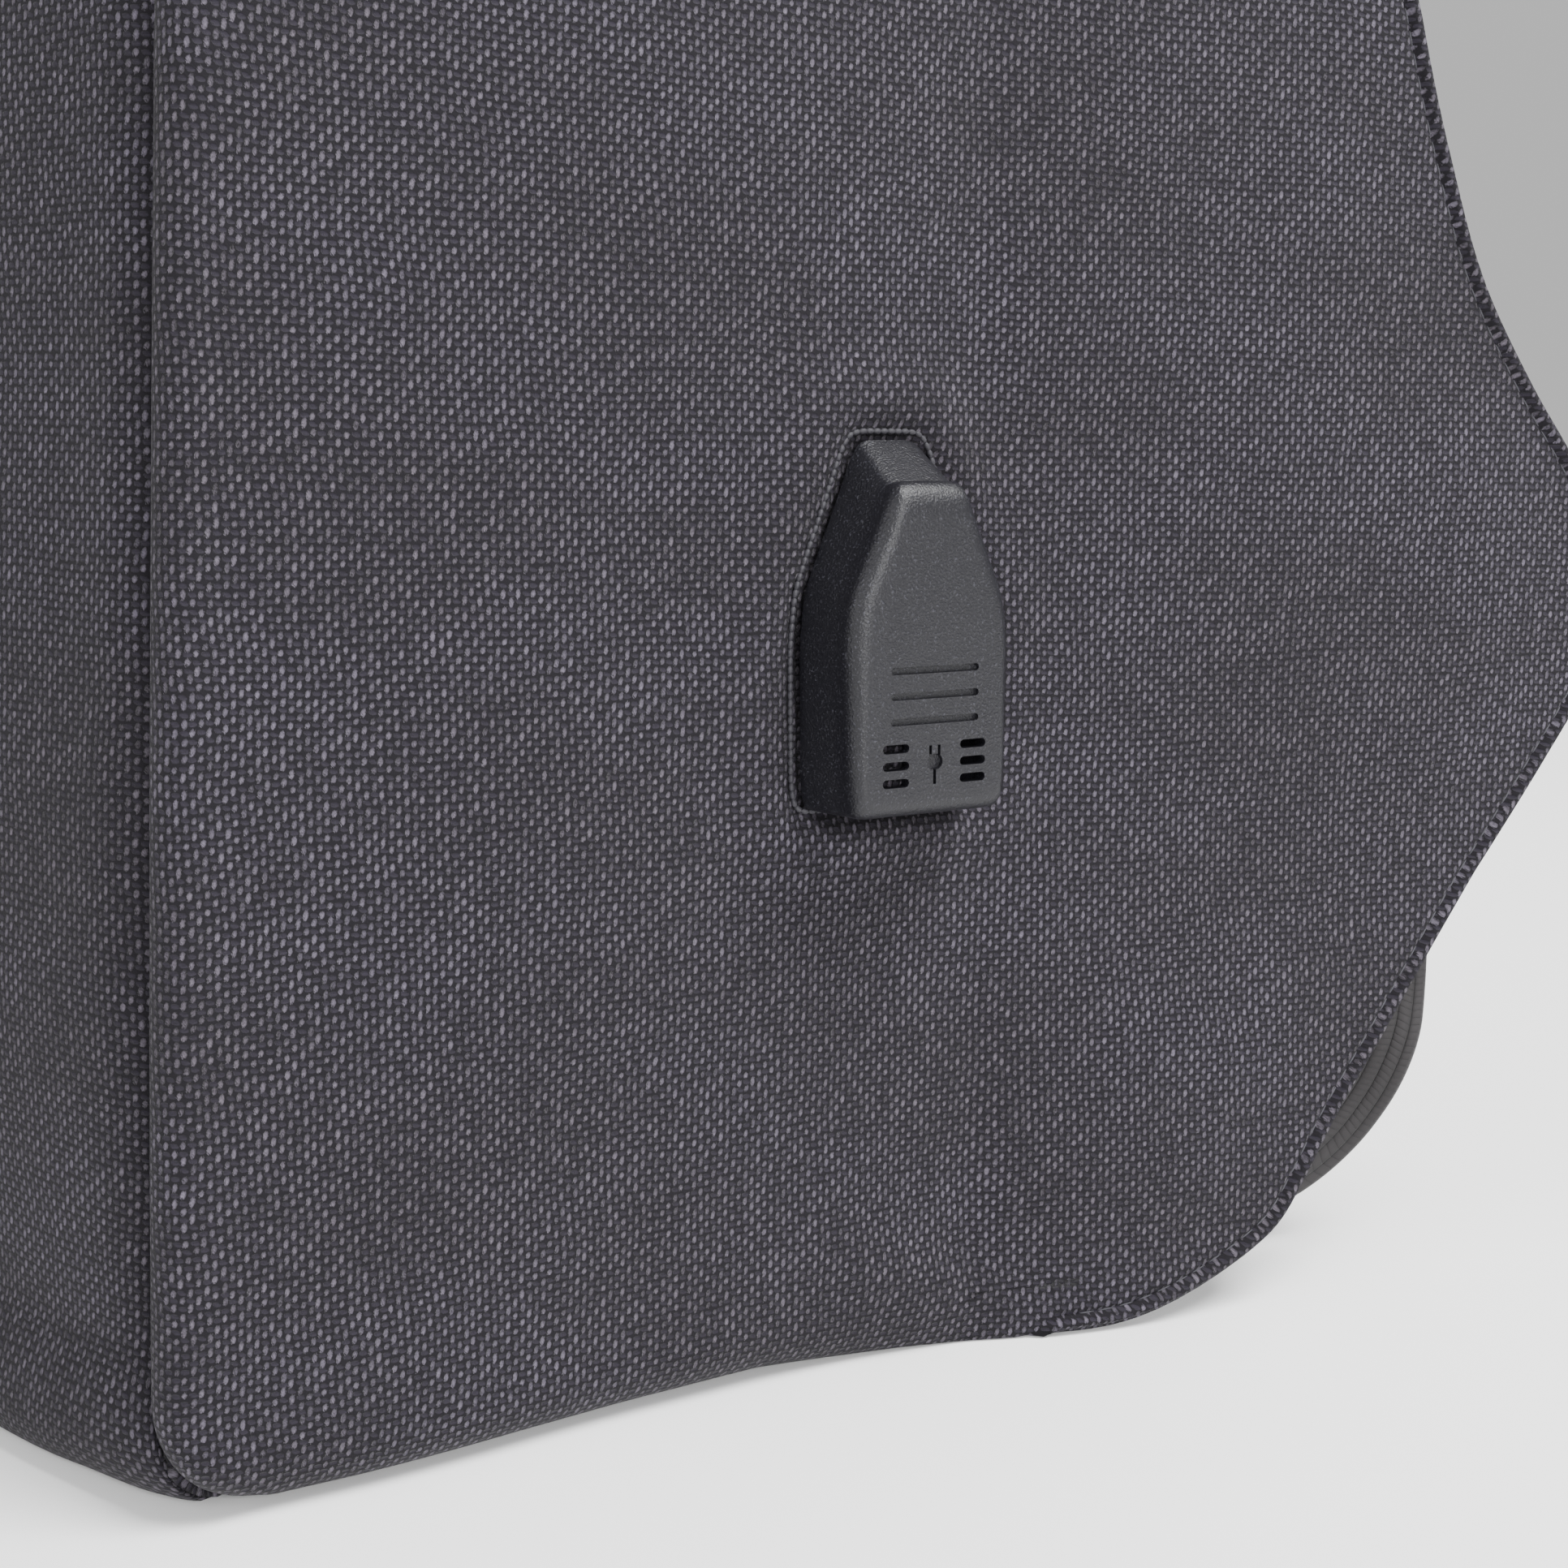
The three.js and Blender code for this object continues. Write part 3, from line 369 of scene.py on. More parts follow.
def add_node(
    tree: bpy.types.NodeTree, kind: str, settings: dict | None = None, inputs: dict | None = None
) -> bpy.types.Node:
    """Adds one node to a tree.

    Args:
        tree: The tree.
        kind: The node's type.
        settings: Its own settings, set first.
        inputs: Values or links of its sockets, by name or number. A colour may have 3 values.

    Returns:
        The node.
    """
    made = tree.nodes.new(kind)
    for key, value in (settings or {}).items():
        setattr(made, key, value)
    for key, value in (inputs or {}).items():
        socket = made.inputs[key]
        if isinstance(value, bpy.types.NodeSocket):
            tree.links.new(value, socket)
        elif isinstance(value, tuple) and len(value) == 3 and len(socket.default_value) == 4:
            socket.default_value = (*value, 1.0)
        else:
            socket.default_value = value
    return made


@dataclass
class Wire:
    """One value in a material's nodes, worked with by Python's own operators."""

    bench: "Bench"
    socket: bpy.types.NodeSocket

    def maths(self, operation: str, *others: "Wire | float", first: bool = True) -> "Wire":
        """Adds one Math node.

        Args:
            operation: The Math node's operation.
            others: Its other values.
            first: Whether this value comes first.

        Returns:
            The node's result.
        """
        values = [self, *others] if first else [*others, self]
        return self.bench.wire("ShaderNodeMath", {"operation": operation}, dict(enumerate(values)))

    def __add__(self, other: "Wire | float") -> "Wire":
        """Returns the sum."""
        return self.maths("ADD", other)

    __radd__ = __add__

    def __sub__(self, other: "Wire | float") -> "Wire":
        """Returns the difference."""
        return self.maths("SUBTRACT", other)

    def __rsub__(self, other: "Wire | float") -> "Wire":
        """Returns the other value less this one."""
        return self.maths("SUBTRACT", other, first=False)

    def __mul__(self, other: "Wire | float") -> "Wire":
        """Returns the product."""
        return self.maths("MULTIPLY", other)

    def __truediv__(self, other: "Wire | float") -> "Wire":
        """Returns the quotient."""
        return self.maths("DIVIDE", other)

    def __pow__(self, other: "Wire | float") -> "Wire":
        """Returns this value to a power."""
        return self.maths("POWER", other)

    def floor(self) -> "Wire":
        """Returns the whole part."""
        return self.maths("FLOOR")

    def fraction(self) -> "Wire":
        """Returns what is over the whole part."""
        return self.maths("FRACT")

    def root(self) -> "Wire":
        """Returns the square root."""
        return self.maths("SQRT")

    def larger(self, other: "Wire | float") -> "Wire":
        """Returns the larger of two values."""
        return self.maths("MAXIMUM", other)

    def held(self) -> "Wire":
        """Returns the value held between 0 and 1."""
        return self.maths("MAXIMUM", 0.0).maths("MINIMUM", 1.0)

    def step(self, low: float, high: float) -> "Wire":
        """Returns a soft step from 0 at low to 1 at high."""
        return self.bench.wire(
            "ShaderNodeMapRange",
            {"interpolation_type": "SMOOTHSTEP"},
            {"Value": self, "From Min": low, "From Max": high, "To Min": 0.0, "To Max": 1.0},
        )


Colour = tuple[float, float, float]


class Bench:
    """A material under construction."""

    def __init__(self, name: str) -> None:
        """Starts an empty material with its output.

        Args:
            name: The material's name.
        """
        self.material = bpy.data.materials.new(name)
        self.material.use_nodes = True
        self.tree = self.material.node_tree
        self.tree.nodes.clear()
        self.output = self.tree.nodes.new("ShaderNodeOutputMaterial")

    def node(self, kind: str, settings: dict | None = None, inputs: dict | None = None) -> bpy.types.Node:
        """Adds one node, whose inputs may be wires."""
        given = (inputs or {}).items()
        plain = {key: value.socket if isinstance(value, Wire) else value for key, value in given}
        return add_node(self.tree, kind, settings, plain)

    def wire(
        self, kind: str, settings: dict | None = None, inputs: dict | None = None, output: str | int = 0
    ) -> Wire:
        """Adds one node and returns one of its outputs."""
        return Wire(self, self.node(kind, settings, inputs).outputs[output])

    def cloth_place(self) -> tuple[Wire, Wire]:
        """Returns the place on the cloth, across and along, in millimetres."""
        place = self.wire("ShaderNodeUVMap", {"uv_map": "cloth"})
        parts = self.node("ShaderNodeSeparateXYZ", {}, {0: place})
        return Wire(self, parts.outputs[0]), Wire(self, parts.outputs[1])

    def vector(self, x: Wire | float, y: Wire | float, z: Wire | float = 0.0) -> Wire:
        """Returns a vector of three values."""
        return self.wire("ShaderNodeCombineXYZ", {}, {0: x, 1: y, 2: z})

    def object_place(self, scale: float) -> Wire:
        """Returns the place on the object, times a scale."""
        place = self.wire("ShaderNodeTexCoord", {}, {}, "Object")
        return self.wire("ShaderNodeVectorMath", {"operation": "SCALE"}, {0: place, "Scale": scale})

    def noise(self, place: Wire, scale: float, detail: float = 2.0) -> Wire:
        """Returns a noise value at a place."""
        return self.wire("ShaderNodeTexNoise", {}, {"Vector": place, "Scale": scale, "Detail": detail}, "Fac")

    def chance(self, x: Wire, y: Wire) -> Wire:
        """Returns an even random value for each pair of whole numbers."""
        return self.wire(
            "ShaderNodeTexWhiteNoise", {"noise_dimensions": "2D"}, {"Vector": self.vector(x, y)}, "Value"
        )

    def mix(
        self, share: Wire | float, first: Wire | Colour, second: Wire | Colour, blend: str = "MIX"
    ) -> Wire:
        """Returns a mix of two colours."""
        settings = {"data_type": "RGBA", "blend_type": blend}
        made = self.node("ShaderNodeMix", settings, {0: share, 6: first, 7: second})
        return Wire(self, made.outputs[2])

    def bump(self, height: Wire, distance: float) -> Wire:
        """Returns a normal raised by a height, in millimetres."""
        return self.wire("ShaderNodeBump", {}, {"Height": height, "Distance": distance * MM, "Strength": 1.0})

    def finish(self, inputs: dict) -> bpy.types.Material:
        """Ends the material in one surface shader.

        Args:
            inputs: The surface shader's values and links.

        Returns:
            The material.
        """
        surface = self.wire("ShaderNodeBsdfPrincipled", {}, inputs)
        self.tree.links.new(surface.socket, self.output.inputs["Surface"])
        return self.material


@dataclass(frozen=True)
class WovenCloth:
    """Plain-woven melange cloth, with light upright floats over dark cross threads and painted shade in the
    gaps between threads.
    """

    name: str
    pitch: float = 0.93
    float_colour: Colour = (0.065, 0.0575, 0.0755)
    warm_tint: Colour = (0.065, 0.0565, 0.07)
    weft_colour: Colour = (0.0135, 0.0113, 0.017)
    # Painted shade: the darkest colour, filling the gaps between threads.
    gap_shade_colour: Colour = (0.0042, 0.0034, 0.0052)
    depth: float = 0.3
    sheen: float = 0.05

    def material(self) -> bpy.types.Material:
        """Builds the cloth's material from its place on the cloth."""
        bench = Bench(self.name)
        across, along = bench.cloth_place()
        place = bench.vector(across, along)
        sway = bench.noise(place, 0.06, 1.0) - 0.5
        drift = bench.noise(bench.vector(along, across), 0.05, 1.0) - 0.5
        u = (across + sway * 1.4) / self.pitch
        v = (along + drift * 1.4) / self.pitch
        column = u.floor()
        repeat = (v + column) * 0.5
        cell = repeat.floor()
        grain = bench.chance(column, cell)
        shift = bench.chance(column + 31.0, cell)
        tall = bench.chance(column, cell + 57.0)
        slub = bench.noise(bench.vector(u * 0.9, v * 0.09), 1.0, 1.0)
        fibres = bench.noise(bench.vector(u * 6.5 + v * 2.0, v * 3.2), 1.0, 2.0)
        over = (repeat.fraction() - 0.5) * 2.0 + (shift - 0.5) * 0.3 + (fibres - 0.5) * 0.7
        x = u.fraction() - 0.5 + (grain - 0.5) * 0.2 + (fibres - 0.5) * 0.5 - over * 0.13
        under = ((repeat + 0.5).fraction() - 0.5) * 2.0
        width = 0.26 + slub * 0.2
        height = 0.42 + tall * 0.3
        warp = (1.0 - (x / width) ** 2.0 - (over / height) ** 2.0).held().root()
        weft = (1.0 - (x / 0.62) ** 2.0 - (under / 0.34) ** 2.0).held().root()
        strands = bench.noise(bench.vector(u * 1.7, v * 7.0), 1.0, 1.0)
        raised = warp.larger(weft * 0.55) + fibres * 0.22
        patch = bench.noise(bench.vector(across, along * 1.4), 0.028, 2.0)
        streak = bench.noise(bench.vector(across * 0.08, along * 0.9), 1.0, 1.0)
        light = grain * 0.5 + slub * 0.35 + (fibres - 0.3) * 2.0 + (patch - 0.5) * 0.8 + (streak - 0.5) * 0.7
        lit = bench.mix(patch.step(0.36, 0.66), self.warm_tint, self.float_colour)
        lit = bench.mix(1.0, lit, bench.vector(light, light, light), "MULTIPLY")
        dim = 0.1 + strands * 0.9 + fibres * 0.8 + (patch - 0.5) * 0.6
        low = bench.mix(1.0, self.weft_colour, bench.vector(dim, dim, dim), "MULTIPLY")
        # Painted shade: the ground between threads, and each cross thread's edges, darken to the gap shade
        # colour.
        ground = bench.mix(weft.step(0.0, 0.7), self.gap_shade_colour, low)
        colour = bench.mix(warp.step(0.0, 0.95), ground, lit)
        return bench.finish(
            {
                "Base Color": colour,
                "Roughness": 0.9,
                "Normal": bench.bump(raised, self.depth),
                "Sheen Weight": self.sheen,
                "Sheen Roughness": 0.45,
                "Specular IOR Level": 0.2,
            }
        )


@dataclass(frozen=True)
class SpacerMesh:
    """Dark knitted mesh with round holes in staggered rows, the holes darkened with painted shade."""

    name: str
    pitch: float = 2.6
    yarn: Colour = (0.04, 0.041, 0.047)
    # Painted shade: the colour inside each hole.
    hole_shade: Colour = (0.008, 0.008, 0.01)

    def material(self) -> bpy.types.Material:
        """Builds the mesh's material from its place on the cloth."""
        bench = Bench(self.name)
        across, along = bench.cloth_place()
        u = across / self.pitch
        v = along / (self.pitch * 0.87)
        row = v.floor()
        x = (u + row * 0.5).fraction() - 0.5
        y = v.fraction() - 0.5
        far = (x * x + y * y).root()
        open_share = 1.0 - far.step(0.2, 0.34)
        wool = bench.noise(bench.vector(across, along), 2.2, 3.0)
        yarn = bench.mix(wool, self.yarn, (0.075, 0.076, 0.085))
        # Painted shade fills the holes.
        colour = bench.mix(open_share, yarn, self.hole_shade)
        height = far.step(0.15, 0.45) + wool * 0.2
        return bench.finish(
            {
                "Base Color": colour,
                "Roughness": 0.92,
                "Normal": bench.bump(height, 0.5),
                "Sheen Weight": 0.1,
                "Specular IOR Level": 0.2,
            }
        )


@dataclass(frozen=True)
class RibbedWebbing:
    """Woven strap with fine ribs along it and short cross floats, coloured with painted shade: rib crowns and
    floats lighter, rib flanks darker.
    """

    name: str
    rib: float = 2.1
    beat: float = 0.8
    # The lit and the shaded ends of the painted rib shading.
    light: Colour = (0.019, 0.0165, 0.0178)
    dark: Colour = (0.005, 0.0043, 0.0048)

    def material(self) -> bpy.types.Material:
        """Builds the webbing's material from its place on the strap."""
        bench = Bench(self.name)
        across, along = bench.cloth_place()
        u = across / self.rib
        column = u.floor()
        x = (u.fraction() - 0.5) * 2.0
        side = (column * 0.5).fraction() * 2.0 - 0.5
        v = along / self.beat + x * side * 0.5
        y = (v.fraction() - 0.5) * 2.0
        ridge = (1.0 - x * x).held().root()
        float_height = (1.0 - (y / 0.92) ** 2.0).held().root()
        wool = bench.noise(bench.vector(across, along), 1.4, 3.0)
        height = ridge * 0.8 + float_height * 0.25 + wool * 0.12
        # Painted shade and highlight: rib crowns and raised floats lighter, rib flanks darker, following the
        # bump's heights.
        shade = (ridge * (0.45 + float_height * 0.35) * (0.55 + wool * 0.8)).held()
        colour = bench.mix(shade, self.dark, self.light)
        return bench.finish(
            {
                "Base Color": colour,
                "Roughness": 0.72,
                "Normal": bench.bump(height, 0.3),
                "Sheen Weight": 0.08,
                "Specular IOR Level": 0.35,
            }
        )


@dataclass(frozen=True)
class SparkPlastic:
    """Moulded plastic with a fine spark-eroded grain."""

    name: str
    base: Colour = (0.0058, 0.0056, 0.0076)
    # Painted glints: the colour of the lighter flecks that stand in for the grain's sparkle.
    glint_colour: Colour = (0.06, 0.06, 0.075)
    sparkle: float = 0.42
    rough: float = 0.36
    grain: float = 3.2
    depth: float = 0.12

    def material(self) -> bpy.types.Material:
        """Builds the plastic's material from its place on the object."""
        bench = Bench(self.name)
        place = bench.object_place(1000.0)
        fine = bench.noise(place, self.grain, 3.0)
        broad = bench.noise(place, 0.08, 2.0)
        # Painted glints: the grain's highest points get lighter flecks, scaled by sparkle.
        glint_specks = fine.step(0.56, 0.74)
        colour = bench.mix(glint_specks * self.sparkle, self.base, self.glint_colour)
        return bench.finish(
            {
                "Base Color": colour,
                "Roughness": self.rough - 0.06 + broad * 0.1 + fine * 0.08,
                "Normal": bench.bump(fine, self.depth),
                "Specular IOR Level": 0.31,
            }
        )


@dataclass(frozen=True)
class DrawnMetal:
    """Bright or dark metal with fine drawing lines."""

    name: str
    base: Colour
    rough: float = 0.32

    def material(self) -> bpy.types.Material:
        """Builds the metal's material from its place on the object."""
        bench = Bench(self.name)
        place = bench.object_place(1000.0)
        stretched = bench.wire(
            "ShaderNodeVectorMath", {"operation": "MULTIPLY"}, {0: place, 1: (6.0, 6.0, 0.4)}
        )
        lines = bench.noise(stretched, 1.0, 3.0)
        tint = bench.mix(lines * 0.3, self.base, (0.35, 0.35, 0.36))
        return bench.finish(
            {
                "Base Color": tint,
                "Metallic": 1.0,
                "Roughness": self.rough - 0.05 + lines * 0.12,
                "Normal": bench.bump(lines, 0.01),
            }
        )


@dataclass(frozen=True)
class Thread:
    """Twisted sewing thread."""

    name: str
    base: Colour = (0.02, 0.0195, 0.025)
    light: Colour = (0.045, 0.044, 0.053)

    def material(self) -> bpy.types.Material:
        """Builds the thread's material from its place on the object."""
        bench = Bench(self.name)
        wool = bench.noise(bench.object_place(1000.0), 3.0, 2.0)
        colour = bench.mix(wool, self.base, self.light)
        return bench.finish({"Base Color": colour, "Roughness": 0.7, "Normal": bench.bump(wool, 0.08)})


@dataclass(frozen=True)
class PlainPaint:
    """Even matt surface of the floor."""

    name: str
    base: Colour

    def material(self) -> bpy.types.Material:
        """Builds the paint's material."""
        return Bench(self.name).finish(
            {"Base Color": (*self.base, 1.0), "Roughness": 0.9, "Specular IOR Level": 0.1}
        )


class Finish(Enum):
    """Finishes of the bag's pieces."""

    BODY = WovenCloth("body_cloth")
    STRAP = WovenCloth("strap_cloth", pitch=0.9)
    MESH = SpacerMesh("spacer_mesh")
    BASE = WovenCloth("base_cloth", pitch=0.8, float_colour=(0.08, 0.081, 0.09))
    WEBBING = RibbedWebbing("ribbed_webbing")
    # The zip tape carries the same painted rib shading, between its own light and dark ends.
    TAPE = RibbedWebbing(
        "zip_tape_cloth", rib=0.9, beat=0.7, light=(0.05, 0.05, 0.055), dark=(0.012, 0.012, 0.014)
    )
    HOOD = SparkPlastic("hood_plastic")
    # The buckle and the zip coil carry weaker painted glints.
    BUCKLE = SparkPlastic("buckle_plastic", base=(0.02, 0.02, 0.022), sparkle=0.15, rough=0.38, depth=0.03)
    TEETH = SparkPlastic("zip_coil", base=(0.025, 0.025, 0.028), sparkle=0.15, rough=0.35, depth=0.02)
    SHELL = DrawnMetal("socket_metal", (0.62, 0.62, 0.63), 0.28)
    SLIDER = DrawnMetal("slider_metal", (0.2, 0.2, 0.21), 0.36)
    THREAD = Thread("sewing_thread")
    OVERCAST = Thread("overcast_thread", base=(0.008, 0.0075, 0.0105), light=(0.024, 0.022, 0.029))


class Wardrobe:
    """Materials made once each, on first use."""

    def __init__(self) -> None:
        """Starts with no materials."""
        self._made: dict[Finish, bpy.types.Material] = {}

    def get(self, finish: Finish) -> bpy.types.Material:
        """Returns a finish's material."""
        if finish not in self._made:
            self._made[finish] = finish.value.material()
        return self._made[finish]

    def dress(self, piece: bpy.types.Object, finish: Finish) -> bpy.types.Object:
        """Gives a piece one finish all over."""
        piece.data.materials.clear()
        piece.data.materials.append(self.get(finish))
        return piece


WARDROBE = Wardrobe()


# Repeated small pieces


class StitchRow:
    """Geometry Nodes tree that sets small round-ended bodies along a line."""

    NAMES = {"Spacing": 3.2, "Length": 2.4, "Width": 0.5, "Height": 0.4}

    def __init__(self) -> None:
        """Builds the tree."""
        self.tree = bpy.data.node_groups.new("stitch_row", "GeometryNodeTree")
        face = self.tree.interface
        face.new_socket("Geometry", in_out="INPUT", socket_type="NodeSocketGeometry")
        for name, value in self.NAMES.items():
            socket = face.new_socket(name, in_out="INPUT", socket_type="NodeSocketFloat")
            socket.default_value = value * MM
        face.new_socket("Material", in_out="INPUT", socket_type="NodeSocketMaterial")
        face.new_socket("Geometry", in_out="OUTPUT", socket_type="NodeSocketGeometry")
        start = add_node(self.tree, "NodeGroupInput")
        curve = add_node(self.tree, "GeometryNodeMeshToCurve", {}, {0: start.outputs["Geometry"]})
        spots = add_node(
            self.tree,
            "GeometryNodeCurveToPoints",
            {"mode": "LENGTH"},
            {"Curve": curve.outputs[0], "Length": start.outputs["Spacing"]},
        )
        turned = add_node(
            self.tree,
            "FunctionNodeAlignRotationToVector", {"axis": "Z"}, {"Vector": spots.outputs["Tangent"]}
        )
        ball = add_node(self.tree, "GeometryNodeMeshUVSphere", {}, {"Segments": 6, "Rings": 5, "Radius": 0.5})
        shape = add_node(
            self.tree,
            "ShaderNodeCombineXYZ",
            {},
            {0: start.outputs["Width"], 1: start.outputs["Height"], 2: start.outputs["Length"]},
        )
        body = add_node(
            self.tree,
            "GeometryNodeTransform", {}, {"Geometry": ball.outputs["Mesh"], "Scale": shape.outputs[0]}
        )
        rows = add_node(
            self.tree,
            "GeometryNodeInstanceOnPoints",
            {},
            {"Points": spots.outputs["Points"], "Instance": body.outputs[0], "Rotation": turned.outputs[0]},
        )
        real = add_node(self.tree, "GeometryNodeRealizeInstances", {}, {0: rows.outputs[0]})
        smoothed = add_node(self.tree, "GeometryNodeSetShadeSmooth", {}, {0: real.outputs[0]})
        dressed = add_node(
            self.tree,
            "GeometryNodeSetMaterial",
            {},
            {"Geometry": smoothed.outputs[0], "Material": start.outputs["Material"]},
        )
        add_node(self.tree, "NodeGroupOutput", {}, {0: dressed.outputs[0]})

    def along(
        self, name: str, lines: Sequence[np.ndarray], finish: Finish, **sizes: float
    ) -> bpy.types.Object:
        """Sets bodies along lines.

        Args:
            name: The piece's name.
            lines: Lines of points, in millimetres.
            finish: The bodies' finish.
            sizes: Any of Spacing, Length, Width and Height, in millimetres.

        Returns:
            One plain mesh of all the bodies.
        """
        points = np.concatenate(lines)
        edges = []
        base = 0
        for line in lines:
            edges.extend((base + k, base + k + 1) for k in range(len(line) - 1))
            base += len(line)
        mesh = bpy.data.meshes.new(name)
        mesh.from_pydata((points * MM).tolist(), edges, [])
        piece = bpy.data.objects.new(name, mesh)
        bpy.context.scene.collection.objects.link(piece)
        step = piece.modifiers.new("rows", "NODES")
        step.node_group = self.tree
        items = self.tree.interface.items_tree
        sockets = {item.name: item.identifier for item in items if item.in_out == "INPUT"}
        for key, value in {**self.NAMES, **sizes}.items():
            step[sockets[key]] = value * MM
        step[sockets["Material"]] = WARDROBE.get(finish)
        return baked(piece)


# The bag's body


@dataclass
class BagForm:
    """Sizes of the bag's body and the surfaces worked out from them."""

    body_height: float = 450.0
    base_depth: float = 138.0
    front_width: float = 210.0
    back_width: float = 268.0
    front_crown: float = 12.0
    top_crown: float = 6.0
    toe_crown: float = 2.0
    front_lean: float = 24.0
    top_round: float = 75.0
    toe_round: float = 15.0
    shoulder_round: float = 62.0
    shoulder_inset: float = 50.0
    side_taper: float = 8.0
    top_fall: float = 14.0
    base_tuck: float = 8.0
    lean_power: float = 1.2
    crown_power: float = 2.4
    taper_start: float = 0.35
    taper_power: float = 1.5
    cloth: float = 2.0
    seam_gap: float = 0.4
    edge_roll: float = 4.0
    base_thickness: float = 3.0
    fit_gap: float = 0.3
    top_roll_share: float = 0.33
    flap_hinge: float = 30.0
    flap_flare: float = 10.0
    flap_reach: float = 72.0
    flap_bulge: float = 5.0
    flap_bulge_height: float = 60.0
    top_flap_reach: float = 10.0
    flare_fade_start: float = 0.4
    flare_fade_power: float = 3.0
    back_thickness: float = 10.0
    back_margin: float = 14.0
    flap_rows: tuple = (
        (0.0, -0.12),
        (0.006, 0.0),
        (0.013, 0.1),
        (0.022, 0.2),
        (0.036, 0.27),
        (0.056, 0.35),
        (0.08, 0.46),
        (0.107, 0.58),
        (0.14, 0.73),
        (0.17, 0.86),
        (0.19, 0.94),
        (0.207, 0.985),
        (0.223, 1.0),
        (0.24, 0.985),
        (0.262, 0.91),
        (0.29, 0.78),
        (0.32, 0.66),
        (0.36, 0.56),
        (0.41, 0.47),
        (0.48, 0.39),
        (0.58, 0.32),
        (0.7, 0.25),
        (0.8, 0.2),
    )
    last_turn: float = 78.0
    toe_puff: float = 13.0
    toe_puff_height: float = 20.0
    toe_puff_power: float = 1.6
    toe_corner_power: float = 8.0
    base_corner_share: float = 1.08

    def __post_init__(self) -> None:
        """Works out what the other methods share."""
        self.slope = (self.back_width - self.front_width) / 2 / self.base_depth
        self.out = np.array([1.0, -self.slope, 0.0]) / math.hypot(1.0, self.slope)
        self.along = np.array([-self.out[1], self.out[0], 0.0])
        self.back_y = self.base_depth / 2
        self.hinge_y = self.back_y - self.flap_hinge
        self.shoulder_start = self.body_height - self.shoulder_round
        self.roll_leg = self.edge_roll + self.cloth
        self.top_z = self.shoulder_start + self.shoulder_round * math.sin(math.radians(self.last_turn))

    def crease_y(self, z: np.ndarray) -> np.ndarray:
        """Returns where the front crease runs at a height, seen from the side."""
        z = np.asarray(z, float)
        lean = self.front_lean * (np.maximum(z, 0) / self.body_height) ** self.lean_power
        top = round_in(self.top_round, z - (self.body_height - self.top_round))
        toe = round_in(self.toe_round, self.toe_round - z)
        return -self.back_y + lean + top + toe

    def side_plane_x(self, y: np.ndarray) -> np.ndarray:
        """Returns the side plane's distance from the middle at a depth."""
        return self.front_width / 2 + self.slope * (np.asarray(y, float) + self.back_y)

    def side_inset(self, z: np.ndarray) -> np.ndarray:
        """Returns how far the side has drawn in from its plane at a height."""
        z = np.asarray(z, float)
        share = clamp01((z / self.body_height - self.taper_start) / (1 - self.taper_start))
        shoulder = round_in(self.shoulder_round, z - self.shoulder_start)
        lean = self.side_taper * share**self.taper_power
        return lean + shoulder * self.shoulder_inset / self.shoulder_round

    def tuck(self, y: np.ndarray, z: np.ndarray) -> np.ndarray:
        """Returns the tuck under the base, which fades out at the free flap."""
        fade = clamp01((self.hinge_y - y) / self.flap_hinge)
        return round_in(self.base_tuck, self.base_tuck - z) * fade

    def flap_out(self, y: np.ndarray, z: np.ndarray) -> np.ndarray:
        """Returns the flap's stand-off from the side plane."""
        past = np.maximum(0, y - self.hinge_y)
        fade = (1 - clamp01(z / self.body_height - self.flare_fade_start)) ** self.flare_fade_power
        flare = past * math.tan(math.radians(self.flap_flare)) * fade
        low = clamp01(1 - z / self.flap_bulge_height)
        return flare + self.flap_bulge * low * np.sin(math.pi / 2 * clamp01(past / self.flap_hinge))

    def shoulder_heights(self, count: int) -> np.ndarray:
        """Returns heights over the shoulder's curve, up to its last row."""
        turns = np.radians(np.linspace(3, self.last_turn, count))
        return self.shoulder_start + self.shoulder_round * np.sin(turns)

    def plane_point(self, y: np.ndarray, z: np.ndarray) -> np.ndarray:
        """Returns points of the side before its tuck and its flap."""
        y, z = np.broadcast_arrays(np.asarray(y, float), np.asarray(z, float))
        share = clamp01((z - self.shoulder_start) / self.shoulder_round)
        fall = self.top_fall * share * clamp01(y / self.back_y) ** 2
        return np.stack([self.side_plane_x(y) - self.side_inset(z), y, z - fall], axis=-1)

    def back_edge(self, count: int) -> tuple[np.ndarray, np.ndarray, np.ndarray]:
        """Returns heights up the back's right edge, their points there and the level ways out."""
        low = self.base_thickness + self.seam_gap
        z = np.concatenate([np.linspace(low, self.shoulder_start, count), self.shoulder_heights(20)])
        full = np.full(len(z), self.back_y)
        out = self.side_normal(full, np.maximum(z, 2 * self.toe_round))
        out[:, 1] = 0
        return z, self.plane_point(full, z), units(out)

    def side_point(self, y: np.ndarray, z: np.ndarray) -> np.ndarray:
        """Returns points of the right side's outer face."""
        out = self.flap_out(np.asarray(y, float), np.asarray(z, float)) - self.tuck(y, z)
        return self.plane_point(y, z) + out[..., None] * self.out

    def side_normal(self, y: np.ndarray, z: np.ndarray) -> np.ndarray:
        """Returns the right side's outward direction."""
        step = 0.5
        low = np.minimum(z, self.body_height - 2 * step)
        here = self.plane_point(y, low)
        up = self.plane_point(y, low + step) - here
        back = self.plane_point(np.asarray(y) + step, low) - here
        low_row = (np.asarray(z) < 2 * self.toe_round)[..., None]
        return np.where(low_row, self.out, units(np.cross(back, up)))

    def roll_share(self, z: np.ndarray) -> np.ndarray:
        """Returns how full the crease's roll is at a height."""
        return lerp(1, self.top_roll_share, clamp01((z - self.shoulder_start) / self.shoulder_round))

